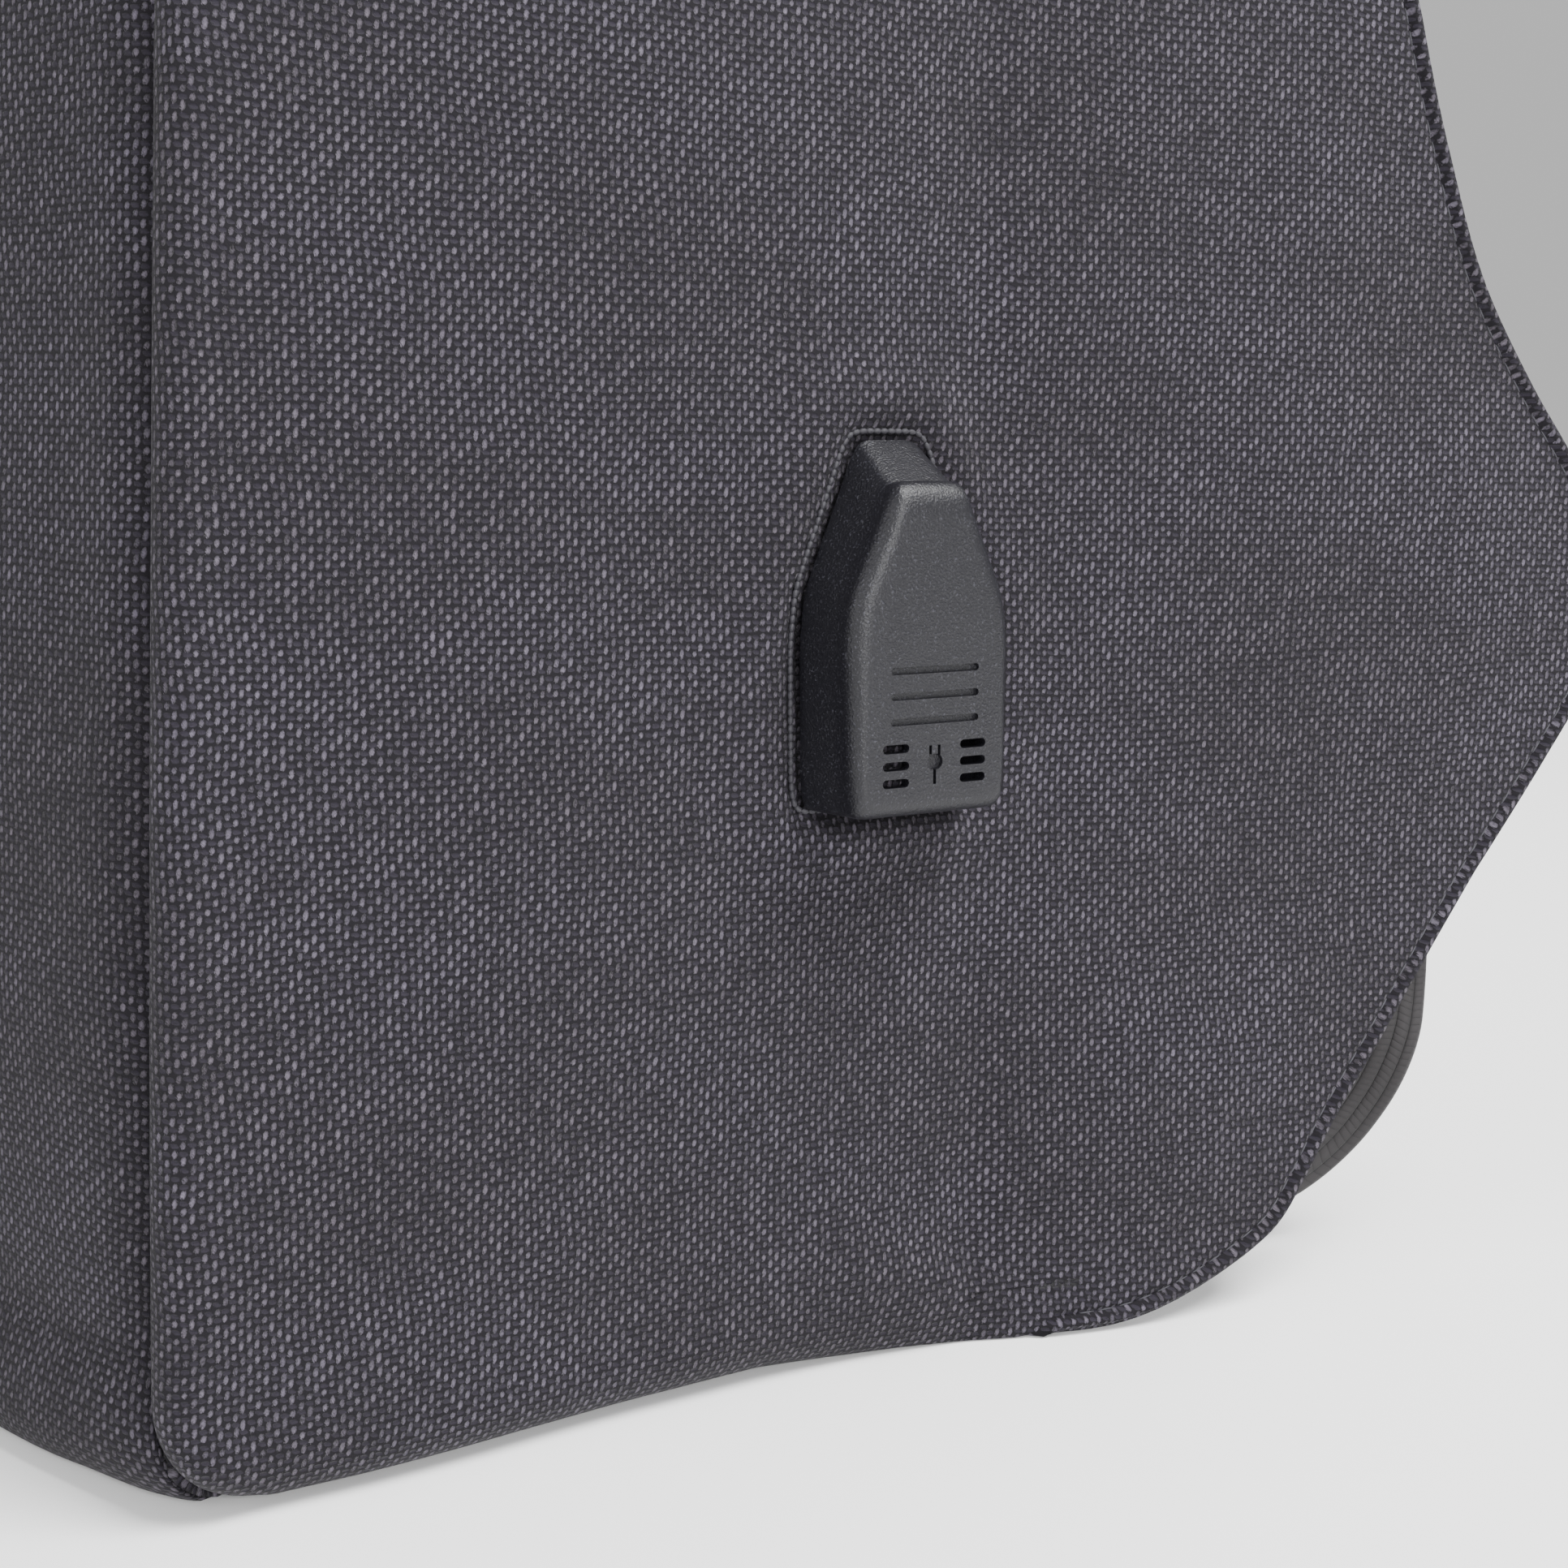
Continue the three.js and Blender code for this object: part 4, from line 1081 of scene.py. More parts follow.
    def puff(self, z: np.ndarray | float, share: np.ndarray) -> np.ndarray:
        """Returns how far the toe swells out past the crease, at a height and a share of its half width."""
        low = clamp01(1 - np.asarray(z, float) / self.toe_puff_height) ** self.toe_puff_power
        return self.toe_puff * low * np.sqrt(1 - np.minimum(1, np.abs(share)) ** self.toe_corner_power)

    def reach(self, z: np.ndarray) -> np.ndarray:
        """Returns the flap's reach behind the body's back at a height."""
        heights, reaches = (np.array(self.flap_rows) * [self.body_height, self.flap_reach]).T
        last = heights[-1]
        share = clamp01((z - last) / (self.body_height - last))
        return np.where(
            z > last, lerp(reaches[-1], self.top_flap_reach, share), through_table(heights, reaches, z)
        )


@dataclass
class PortPlace:
    """Where the charging port sits on the right side, in its own frame of side, up and out."""

    form: BagForm
    centre_y: float = 25.0
    centre_z: float = 99.3
    height: float = 46.5
    width: float = 26.0
    depth: float = 11.0

    def world(self, points: np.ndarray) -> np.ndarray:
        """Turns places in the port's frame into the bag's."""
        origin = self.form.plane_point(self.centre_y, self.centre_z) + self.form.out * self.form.fit_gap
        points = np.asarray(points, float)
        up = np.array([0.0, 0.0, 1.0])
        across, rise, stand = points[..., :1], points[..., 1:2], points[..., 2:3]
        return origin + across * self.form.along + rise * up + stand * self.form.out

    def from_side(self, y: np.ndarray, z: np.ndarray) -> tuple[np.ndarray, np.ndarray]:
        """Returns a side point's place across and up from the port's centre."""
        return (y - self.centre_y) / self.form.along[1], z - self.centre_z

    def outline_distance(self, y: np.ndarray, z: np.ndarray) -> np.ndarray:
        """Returns the distance outside the hood's base outline, less than 0 inside it."""
        u, v = self.from_side(y, z)
        share = v / (self.height / 2)
        heights, halves = zip(*HOOD_BASE_ROWS)
        half = np.interp(share, heights, halves) * self.width / 2
        beside = np.abs(u) - half
        above = np.abs(v) - self.height / 2
        outside = np.hypot(np.maximum(beside, 0), np.maximum(above, 0))
        return outside + np.minimum(np.maximum(beside, above), 0)


# Half outlines of the hood, from its mouth up: height and half width, as shares of its own halves
HOOD_BASE_ROWS = (
    (-1.0, 0.94),
    (-0.85, 0.99),
    (-0.1, 1.0),
    (0.18, 0.95),
    (0.38, 0.81),
    (0.66, 0.6),
    (0.93, 0.41),
    (1.0, 0.3),
)
HOOD_FACE_ROWS = (
    (-1.0, 0.82),
    (-0.85, 0.85),
    (-0.1, 0.9),
    (0.14, 0.86),
    (0.32, 0.72),
    (0.5, 0.56),
    (0.66, 0.43),
    (0.7, 0.34),
)

FORM = BagForm()
PORT = PortPlace(FORM)


class Side(Enum):
    """The bag's two sides."""

    RIGHT = "right"
    LEFT = "left"

    def place(self, points: np.ndarray) -> np.ndarray:
        """Returns points of the right side, mirrored for the left."""
        return points if self is Side.RIGHT else mirror_x(points)


@dataclass
class SidePanel:
    """One side's cloth: a body part from the front crease back, and a free flap with a stitched hem."""

    side: Side
    stitches: StitchRow
    hem: float = 2.5
    hem_rise: float = 0.75
    flap_start_y: float = 38.0
    step: float = 1.7
    edge_spots: tuple = (0.0, 0.15, 0.4, 0.75, 1.15, 1.6, 2.0, 2.3, 2.5, 2.7, 3.0, 3.5, 4.3, 5.6, 7.5)
    roll_turns: int = 12
    roll_end: float = -30.0
    columns: int = 74

    def rows(self) -> tuple[np.ndarray, np.ndarray, np.ndarray]:
        """Returns each row's edge place, its way in from the edge, and its height at the crease."""
        form = FORM
        lower = np.concatenate([np.linspace(0, 200, 160), np.linspace(201.5, form.shoulder_start, 60)])
        heights = np.concatenate([lower, form.shoulder_heights(16)])
        edge = np.stack([form.back_y + form.reach(heights), heights], axis=1)
        bottom = np.linspace(self.flap_start_y, edge[0, 0], 9)[:-1]
        edge = np.concatenate([np.stack([bottom, np.zeros(len(bottom))], axis=1), edge])
        for _ in range(3):
            soft = (edge[:-2] + 2 * edge[1:-1] + edge[2:]) / 4
            near = (edge[1:-1, 1] < 30)[:, None]
            edge[1:-1] = np.where(near, soft, edge[1:-1])
        edge = even_steps(edge, self.step)
        ahead = units(np.gradient(edge, axis=0))
        inward = np.stack([-ahead[:, 1], ahead[:, 0]], axis=1)
        blend = smooth(0, 14, run_length(edge))[:, None]
        inward = units(lerp(np.array([[-1.0, 0.0]]), inward, blend))
        run = run_length(edge)
        crease_run = run / run[-1]
        crease_z = through_table([0, 0.06, 0.3, 0.6, 1.0], [0, 9, 96, 240, form.top_z], crease_run)
        return edge, inward, crease_z

    def detail(self, y: np.ndarray, z: np.ndarray, from_edge: np.ndarray) -> np.ndarray:
        """Returns how far the cloth stands off its plain form.

        Args:
            y: Depths of the points.
            z: Heights of the points.
            from_edge: Their distances from the hemmed edge.
        """
        free = smooth(4, 20, from_edge)
        waves = ripple(y, z, 90, 3) * 0.9 + ripple(y, z, 38, 8) * 0.28 + ripple(y, z, 17, 5) * 0.07
        total = waves * free * smooth(-75, -40, y)
        total += bell((y - 30) * 0.55 + (z - 10) * 0.84, 5.5) * bell(z - 8, 11) * 1.5
        if self.side is Side.RIGHT:
            far = PORT.outline_distance(y, z)
            total = total * smooth(0, 26, far)
            total += 0.9 * bell(far - 5.5, 4.0) - 1.5 * (1 - smooth(-0.5, 3.2, far))
        band = self.hem
        rise = self.hem_rise * smooth(0.0, 1.2, from_edge) * (1 - smooth(band - 0.5, band, from_edge))
        groove = -0.45 * bell(from_edge - band, 0.42)
        return total + rise + groove

    def grids(self) -> tuple[np.ndarray, np.ndarray, np.ndarray, np.ndarray]:
        """Returns the outer and inner points, their cloth places, and the hem's stitch line."""
        form = FORM
        edge, inward, crease_z = self.rows()
        crease = np.stack([form.crease_y(crease_z) + form.edge_roll, crease_z], axis=1)
        spots = np.array(self.edge_spots)
        near = edge[:, None] + inward[:, None] * spots[None, :, None]
        last = near[:, -1:]
        share = np.linspace(0, 1, self.columns + 1)[1:][None, :, None]
        far = lerp(last, crease[:, None], share)
        flat = np.concatenate([near, far], axis=1)
        from_edge = np.concatenate([spots, spots[-1] + np.arange(1, self.columns + 1) * 2.0])
        from_edge = np.repeat(from_edge[None], len(edge), axis=0)
        hem_from = smooth(0, 14, run_length(edge))[:, None]
        from_edge = lerp(9.0 + from_edge, from_edge, hem_from)
        y, z = flat[..., 0], np.maximum(flat[..., 1], 0)
        normal = form.side_normal(y, z)
        skin = form.side_point(y, z)
        outer = skin + normal * self.detail(y, z, from_edge)[..., None]
        turns = np.radians(np.linspace(90, self.roll_end, self.roll_turns + 1))[1:]
        rolls = form.edge_roll * (1 - np.stack([np.cos(turns), np.sin(turns)], axis=1))
        start_y = form.crease_y(crease_z)
        edge_points = []
        for along, fall in rolls:
            at = start_y + along
            drawn_in = (fall * form.roll_share(crease_z))[:, None]
            edge_points.append(form.side_point(at, crease_z) - form.side_normal(at, crease_z) * drawn_in)
        outer = np.concatenate([outer, np.stack(edge_points, axis=1)], axis=1)
        facing = np.tile(form.out, (*outer.shape[:2], 1))
        forward = np.array([0.0, -1.0, 0.0])
        facing[:, -len(turns) :] = np.sin(turns)[:, None] * form.out + np.cos(turns)[:, None] * forward
        normals = grid_normals(outer, facing)
        thickness = np.full(outer.shape[:2], form.cloth)
        rim = 1 - smooth(0.0, 1.2, spots)
        thickness[:, : len(spots)] -= rim * (form.cloth - 0.9) * hem_from
        inner = outer - normals * thickness[..., None]
        centre = -normals[:, : len(spots)] * (rim * 0.55)[None, :, None] * hem_from[..., None]
        outer[:, : len(spots)] += centre
        inner[:, : len(spots)] += centre
        outer[..., 2] = np.maximum(outer[..., 2], 0.0)
        inner[..., 2] = np.maximum(inner[..., 2], 0.0)
        pace = form.edge_roll * math.radians(90 - self.roll_end) / self.roll_turns
        rolled = [start_y + form.edge_roll - pace * (k + 1) for k in range(len(rolls))]
        places_x = np.concatenate([y, np.stack(rolled, axis=1)], axis=1)
        places_z = np.concatenate([z, np.repeat(crease_z[:, None], len(rolls), axis=1)], axis=1)
        uvs = np.stack([places_x / form.along[1], places_z], axis=-1)
        groove = int(np.argmin(np.abs(spots - self.hem)))
        line = outer[10:, groove] + normals[10:, groove] * 0.02
        return outer, inner, uvs, line

    def build(self) -> list[bpy.types.Object]:
        """Builds the cloth and its hem stitches."""
        name = f"side_panel_{self.side.value}"
        outer, inner, uvs, line = self.grids()
        last_leg = np.array([-FORM.roll_leg, 0, -FORM.cloth])
        outer = np.concatenate([outer, outer[-1:] + last_leg])
        inner = np.concatenate([inner, inner[-1:] + last_leg])
        uvs = np.concatenate([uvs, uvs[-1:] + np.array([0, FORM.roll_leg])])
        cloth = slab(f"{name}_cloth", self.side.place(outer), self.side.place(inner), uvs)
        WARDROBE.dress(cloth, Finish.BODY)
        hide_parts(name)
        rows = [self.side.place(line)]
        seam = self.stitches.along(
            f"{name}_hem_stitches", rows, Finish.THREAD, Spacing=3.0, Length=2.3, Width=0.32, Height=0.3
        )
        return [cloth, seam]


@dataclass
class FrontPanel:
    """The front's cloth, from the toe up the front and over the top to the zip."""

    stitches: StitchRow
    columns: int = 130
    seam_dip: float = 3.2
    seam_dip_width: float = 5.0
    corner_swell: float = 7.0
    tuck_run: float = 30.0
    tuck_rise: float = 2.4
    tuck_back: float = 0.7

    def stations(self) -> tuple[np.ndarray, np.ndarray, np.ndarray]:
        """Returns the crease's places on the right, the ways out of the bag and the crowns."""
        form = FORM
        z = np.concatenate(
            [
                np.linspace(0, 24, 20),
                np.linspace(26, 200, 90),
                np.linspace(203, form.shoulder_start, 60),
                form.shoulder_heights(26),
            ]
        )
        crease_y = form.crease_y(z)
        creases = form.plane_point(crease_y, z)
        step = np.gradient(creases, axis=0)
        out = units(np.stack([np.zeros(len(z)), -step[:, 2], step[:, 1]], axis=1))
        place = form.side_point(crease_y, z)
        tucked = smooth(-self.tuck_run, self.tuck_run / 3, z - form.shoulder_start)
        fall = form.roll_leg * form.roll_share(z) + form.seam_gap - self.tuck_rise * tucked
        place = place - form.side_normal(crease_y, z) * fall[:, None]
        place[:, 1] += form.cloth + self.tuck_back * tucked
        crown = lerp(form.toe_crown, form.front_crown, np.sqrt(clamp01(z / (4 * form.toe_round))))
        crown = lerp(crown, form.top_crown, clamp01((z - form.shoulder_start) / form.shoulder_round))
        top_y = np.linspace(place[-1, 1] + 3, form.back_y + form.top_flap_reach, 60)
        top = form.plane_point(top_y, np.full(len(top_y), form.top_z))
        top[:, 0] -= form.roll_leg + form.seam_gap
        top[:, 2] -= form.cloth
        place[-1, 0] = top[0, 0] - 2 * form.seam_gap
        places = np.concatenate([place, top])
        outs = np.concatenate([out, np.repeat([[0.0, 0.0, 1.0]], len(top), axis=0)])
        return places, outs, np.concatenate([crown, np.full(len(top), form.top_crown)])

    def build(self) -> list[bpy.types.Object]:
        """Builds the cloth."""
        places, outs, crowns = self.stations()
        half = np.sin(np.linspace(0, math.pi / 2, self.columns // 2 + 1))
        shares = np.concatenate([-half[:0:-1], half])
        rise = crowns[:, None] * (1 - np.abs(shares) ** FORM.crown_power)
        run = run_length(places * np.array([0, 1, 1]))[:, None]
        x = places[:, :1] * shares[None]
        inside = smooth(0, 18, places[:, :1] * (1 - np.abs(shares)))
        waves = ripple(x, run, 110, 21) * 1.1 + ripple(x, run, 42, 22) * 0.35
        top_end = 1 - smooth(-40, 0, run - run[-1])
        rise = rise + waves * inside * smooth(6, 50, run) * top_end
        from_seam = places[:, :1] * (1 - np.abs(shares))
        rise = rise - self.seam_dip * bell(from_seam, self.seam_dip_width) * smooth(14, 40, run) * top_end
        size = np.abs(shares)[None]
        low = clamp01(1 - places[:, 2:] / FORM.toe_puff_height) ** FORM.toe_puff_power
        swell_out = np.sign(shares)[None] * self.corner_swell * low * smooth(0.84, 0.96, size)
        swell_out = swell_out * (1 - smooth(0.965, 1.0, size))
        depth = places[:, 1:2] - FORM.puff(places[:, 2:], shares[None])
        outer = np.stack([x + swell_out, depth, np.repeat(places[:, 2:3], len(shares), axis=1)], axis=-1)
        outer = outer + outs[:, None] * rise[..., None]
        normals = grid_normals(outer, outs[:, None])
        inner = outer - normals * FORM.cloth
        outer[..., 2] = np.maximum(outer[..., 2], 0)
        inner[..., 2] = np.maximum(inner[..., 2], 0)
        uvs = np.stack([x, np.repeat(run, len(shares), axis=1)], axis=-1)
        cloth = slab("front_panel_cloth", outer, inner, uvs)
        WARDROBE.dress(cloth, Finish.BODY)
        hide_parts("front_panel")
        self.outer = outer
        return [cloth]


@dataclass
class BaseAndBack:
    """The base and the padded back panel."""

    stitches: StitchRow
    pad_rise: float = 6.0
    pad_channel: float = 34.0
    pad_edge: float = 16.0
    pad_slope: float = 12.0
    pad_bottom: float = 46.0
    pad_top: float = 30.0
    voxel: float = 5.0
    pressure: float = 4.0
    cap: float = 3.0

    def base(self) -> bpy.types.Object:
        """Builds the base."""
        form = FORM
        start = form.crease_y(0) + 2 * form.cloth + form.seam_gap
        front_y = form.back_y - form.back_thickness
        y = np.linspace(start, front_y - form.seam_gap, 44)
        face = form.side_point(np.minimum(y, form.hinge_y), np.zeros(len(y)))
        edge = face[:, 0] - form.cloth - form.seam_gap
        corner = clamp01((y - form.hinge_y) / (y[-1] - form.hinge_y))
        half = edge - corner * (form.back_margin - form.cloth)
        share = np.linspace(-1, 1, 61)
        x = half[:, None] * share
        dip = 0.3 * ripple(x, np.repeat(y[:, None], 61, axis=1), 60, 31) + 0.3
        inside = smooth(0, 12, half[:, None] * (1 - np.abs(share))) * smooth(0, 12, y - y[0])[:, None]
        forward = 1 - (y - y[0]) / (y[-1] - y[0])
        puff = form.puff(form.cloth, np.abs(share) * form.base_corner_share)
        depth = y[:, None] - puff[None] * forward[:, None]
        low = np.stack([x, depth, np.clip(dip, 0, 0.6) * inside], axis=-1)
        high = np.stack([x, depth, np.full(x.shape, form.base_thickness)], axis=-1)
        uvs = np.stack([x, depth], axis=-1)
        piece = slab("base_panel_cloth", low, high, uvs)
        WARDROBE.dress(piece, Finish.BASE)
        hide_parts("base_panel")
        return piece

    def rise(self, x: np.ndarray, half: np.ndarray, z: np.ndarray, top: float) -> np.ndarray:
        """Returns the pads' rise over the back panel."""
        across = np.minimum(
            np.abs(x) - self.pad_channel / 2, half - self.pad_edge - np.abs(x)
        ) / self.pad_slope
        along = np.minimum(z - self.pad_bottom, top - self.pad_top - z) / self.pad_slope
        return self.pad_rise * np.sin(math.pi / 2 * clamp01(np.minimum(across, along)))

    def outline(self) -> np.ndarray:
        """Returns the back panel's right edge from the base up."""
        form = FORM
        _, edge, out = form.back_edge(110)
        edge = edge - out * form.back_margin
        return np.concatenate([[[edge[0, 0], form.back_y, form.seam_gap]], edge])

    def back(self) -> list[bpy.types.Object]:
        """Builds the padded back panel with its sewn pads."""
        form = FORM
        edge = self.outline()
        top = edge[-1, 2]
        share = np.linspace(-1, 1, 97)
        x = edge[:, :1] * share
        z = np.repeat(edge[:, 2:], len(share), axis=1)
        rear_y = form.back_y + self.rise(x, edge[:, :1], z, top) * 0.75
        front_y = np.full(x.shape, form.back_y - form.back_thickness)
        uvs = np.stack([x, z], axis=-1)
        piece = slab(
            "back_panel_pad", np.stack([x, rear_y, z], axis=-1), np.stack([x, front_y, z], axis=-1), uvs
        )
        still = np.array([form.back_y - form.back_thickness / 2, form.back_y + 1.0])

        def hold(points: np.ndarray) -> np.ndarray:
            """Returns how freely each point may move: not at all at the rim and inside."""
            half = np.interp(points[:, 2], edge[:, 2], edge[:, 0])
            rim = np.minimum(half - np.abs(points[:, 0]), np.minimum(points[:, 2], top - points[:, 2]))
            return smooth(still[0], still[1], points[:, 1]) * smooth(8, 22, rim)

        swell(piece, self.voxel, self.pressure, self.cap, hold)
        sew_lines(piece, self.seam_depth(edge, top))
        planar_places(piece, 0, 2)
        WARDROBE.dress(piece, Finish.MESH)
        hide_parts("back_panel")
        return [piece]

    def seam_depth(self, edge: np.ndarray, top: float) -> Callable[[np.ndarray], np.ndarray]:
        """Returns the depth of the sewn lines round the pads and across them."""
        form = FORM

        def depth(points: np.ndarray) -> np.ndarray:
            """Returns how far each point is drawn in along Y."""
            half = np.interp(points[:, 2], edge[:, 2], edge[:, 0])
            x = np.abs(points[:, 0])
            across = np.minimum(x - self.pad_channel / 2, half - self.pad_edge - x)
            along = np.minimum(points[:, 2] - self.pad_bottom, top - self.pad_top - points[:, 2])
            ring = bell(np.minimum(across, along), 2.6)
            pitch = (top - self.pad_top - self.pad_bottom) / 5
            level = (points[:, 2] - self.pad_bottom) / pitch
            off = np.abs(level - np.round(level)) * pitch
            inside = smooth(0, 6, np.minimum(across, along))
            bars = bell(off, 3.0) * inside
            rear = smooth(form.back_y - 2, form.back_y + 0.5, points[:, 1])
            return (ring * 1.0 + bars * 2.6) * rear

        return depth

    def build(self) -> list[bpy.types.Object]:
        """Builds the base and the back."""
        return [self.base(), *self.back()]


def swell(
    piece: bpy.types.Object,
    voxel: float,
    pressure: float,
    cap: float,
    hold: Callable[[np.ndarray], np.ndarray] | None = None,
) -> None:
    """Swells a padded piece by cloth simulation and leaves it a plain mesh.

    Args:
        piece: The piece, a little smaller than it should be.
        voxel: Size of the even mesh that it is simulated as, in millimetres.
        pressure: The padding's pressure.
        cap: The furthest that a point may move, in millimetres.
        hold: Gives each point's freedom to move, from 0 to 1, from its place in millimetres.
    """
    with_modifier(piece, "REMESH", mode="VOXEL", voxel_size=voxel * MM, use_smooth_shade=True)
    rest = vertex_places(piece)
    scene = bpy.context.scene
    cloth = piece.modifiers.new("padding", "CLOTH")
    cloth.settings.use_pressure = True
    cloth.settings.uniform_pressure_force = pressure
    cloth.settings.quality = 5
    cloth.settings.effector_weights.gravity = 0
    cloth.collision_settings.use_collision = False
    cloth.point_cache.frame_start = 1
    cloth.point_cache.frame_end = 20
    for number in range(1, 21):
        scene.frame_set(number)
    seen = bpy.context.evaluated_depsgraph_get()
    shape = piece.evaluated_get(seen).to_mesh()
    moved = np.zeros(len(shape.vertices) * 3)
    shape.vertices.foreach_get("co", moved)
    moved = moved.reshape(-1, 3) / MM
    piece.evaluated_get(seen).to_mesh_clear()
    piece.modifiers.clear()
    scene.frame_set(1)
    step = moved - rest
    size = np.maximum(np.linalg.norm(step, axis=1, keepdims=True), 1e-9)
    step *= np.minimum(1, cap / size)
    if hold is not None:
        step *= hold(rest)[:, None]
    set_places(piece, rest + step)
    with_modifier(piece, "SUBSURF", levels=1, render_levels=1)
    shade_smooth(piece.data)


def vertex_places(piece: bpy.types.Object) -> np.ndarray:
    """Returns a piece's points, in millimetres."""
    flat = np.zeros(len(piece.data.vertices) * 3)
    piece.data.vertices.foreach_get("co", flat)
    return flat.reshape(-1, 3) / MM


def set_places(piece: bpy.types.Object, points: np.ndarray) -> None:
    """Moves a piece's points to places in millimetres."""
    piece.data.vertices.foreach_set("co", (points * MM).ravel())
    piece.data.update()


def sew_lines(piece: bpy.types.Object, depth: Callable[[np.ndarray], np.ndarray]) -> None:
    """Draws sewn lines into a padded piece's rear face.

    Args:
        piece: The padded piece.
        depth: Gives how far each point is drawn in along Y.
    """
    points = vertex_places(piece)
    points[:, 1] -= depth(points)
    set_places(piece, points)


def planar_places(piece: bpy.types.Object, across: int, along: int) -> None:
    """Gives a piece cloth places read straight from two of its axes, in millimetres."""
    mesh = piece.data
    while mesh.uv_layers:
        mesh.uv_layers.remove(mesh.uv_layers[0])
    set_cloth_places(mesh, vertex_places(piece)[:, [across, along]])


@dataclass
class ZipClosure:
    """The hidden zip: its tape, its coil and the two sliders."""

    stitches: StitchRow
    tape: float = 1.4
    front_lap: float = 1.0
    coil_pitch: float = 1.8

    def lines(self) -> tuple[np.ndarray, np.ndarray]:
        """Returns the tape's front and back edges, as lines right round the bag."""
        form = FORM
        z, back, out = form.back_edge(100)
        turned = clamp01((z - form.shoulder_start) / form.shoulder_round)
        dive = lerp(form.cloth + form.seam_gap, form.roll_leg, turned)
        front = form.plane_point(np.full(len(z), form.hinge_y + self.front_lap), z) - out * dive[:, None]
        back[:, 1] = form.back_y - form.back_thickness / 3
        back += out * (form.seam_gap + self.tape - form.back_margin)
        inward = np.ones((39, 3))
        inward[:, 0] = np.linspace(1, 0, 40)[1:]
        halves = [np.concatenate([line, line[-1] * inward]) for line in (front, back)]
        return tuple(np.concatenate([half, mirror_x(half[-2::-1])]) for half in halves)

    def build(self) -> list[bpy.types.Object]:
        """Builds the tape, the coil and the sliders."""
        front, back = self.lines()
        shares = np.array([0, 0.1, 0.25, 0.38, 0.44, 0.5, 0.56, 0.62, 0.75, 0.9, 1.0])
        grid = lerp(front[:, None], back[:, None], shares[None, :, None])
        up = units(np.cross(back - front, np.gradient(front, axis=0)))
        centre = np.array([0, 0, FORM.body_height / 2])
        flip = np.sum(up * (front - centre), axis=1, keepdims=True) < 0
        up = np.where(flip, -up, up)
        fold = 0.5 * bell(shares - 0.5, 0.1)
        outer = grid + up[:, None] * fold[None, :, None]
        inner = grid - up[:, None] * self.tape
        run = run_length((front + back) / 2)
        width = np.linalg.norm(back - front, axis=1)
        uvs = np.stack([width[:, None] * shares[None], np.repeat(run[:, None], len(shares), axis=1)], axis=-1)
        tape = slab("zip_tape_cloth", outer, inner, uvs)
        WARDROBE.dress(tape, Finish.TAPE)
        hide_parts("zip_tape")
        rows = []
        for share in (0.455, 0.545):
            rows.append(even_steps(lerp(front, back, share) + up * 0.75, self.coil_pitch * 0.5))
        coil = self.stitches.along(
            "zip_coil", rows, Finish.TEETH, Spacing=self.coil_pitch, Length=0.9, Width=2.2, Height=1.5
        )
        sliders = []
        for side in Side:
            slider = cad_copy(f"zip_slider_{side.value}", f"zip_slider_{side.value}_body", 0.5)
            WARDROBE.dress(slider, Finish.SLIDER)
            sliders.append(slider)
        return [tape, coil, *sliders]


def cad_copy(node: str, name: str, bevel: float) -> bpy.types.Object:
    """Makes a piece from a solid's own shape, with its edges rounded.

    Args:
        node: The solid's name.
        name: The piece's name.
        bevel: Width of the rounding, in millimetres.

    Returns:
        The piece, which replaces the solid.
    """
    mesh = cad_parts[node].data.copy()
    mesh.name = name
    body = bmesh.new()
    body.from_mesh(mesh)
    bmesh.ops.remove_doubles(body, verts=body.verts, dist=1e-6)
    bmesh.ops.dissolve_limit(body, angle_limit=math.radians(1), verts=body.verts, edges=body.edges)
    body.to_mesh(mesh)
    body.free()
    piece = bpy.data.objects.new(name, mesh)
    bpy.context.scene.collection.objects.link(piece)
    with_modifier(
        piece, "BEVEL", width=bevel * MM, segments=3, limit_method="ANGLE", angle_limit=math.radians(35)
    )
    shade_smooth(piece.data)
    with_modifier(piece, "WEIGHTED_NORMAL", keep_sharp=True)
    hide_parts(node)
    return piece


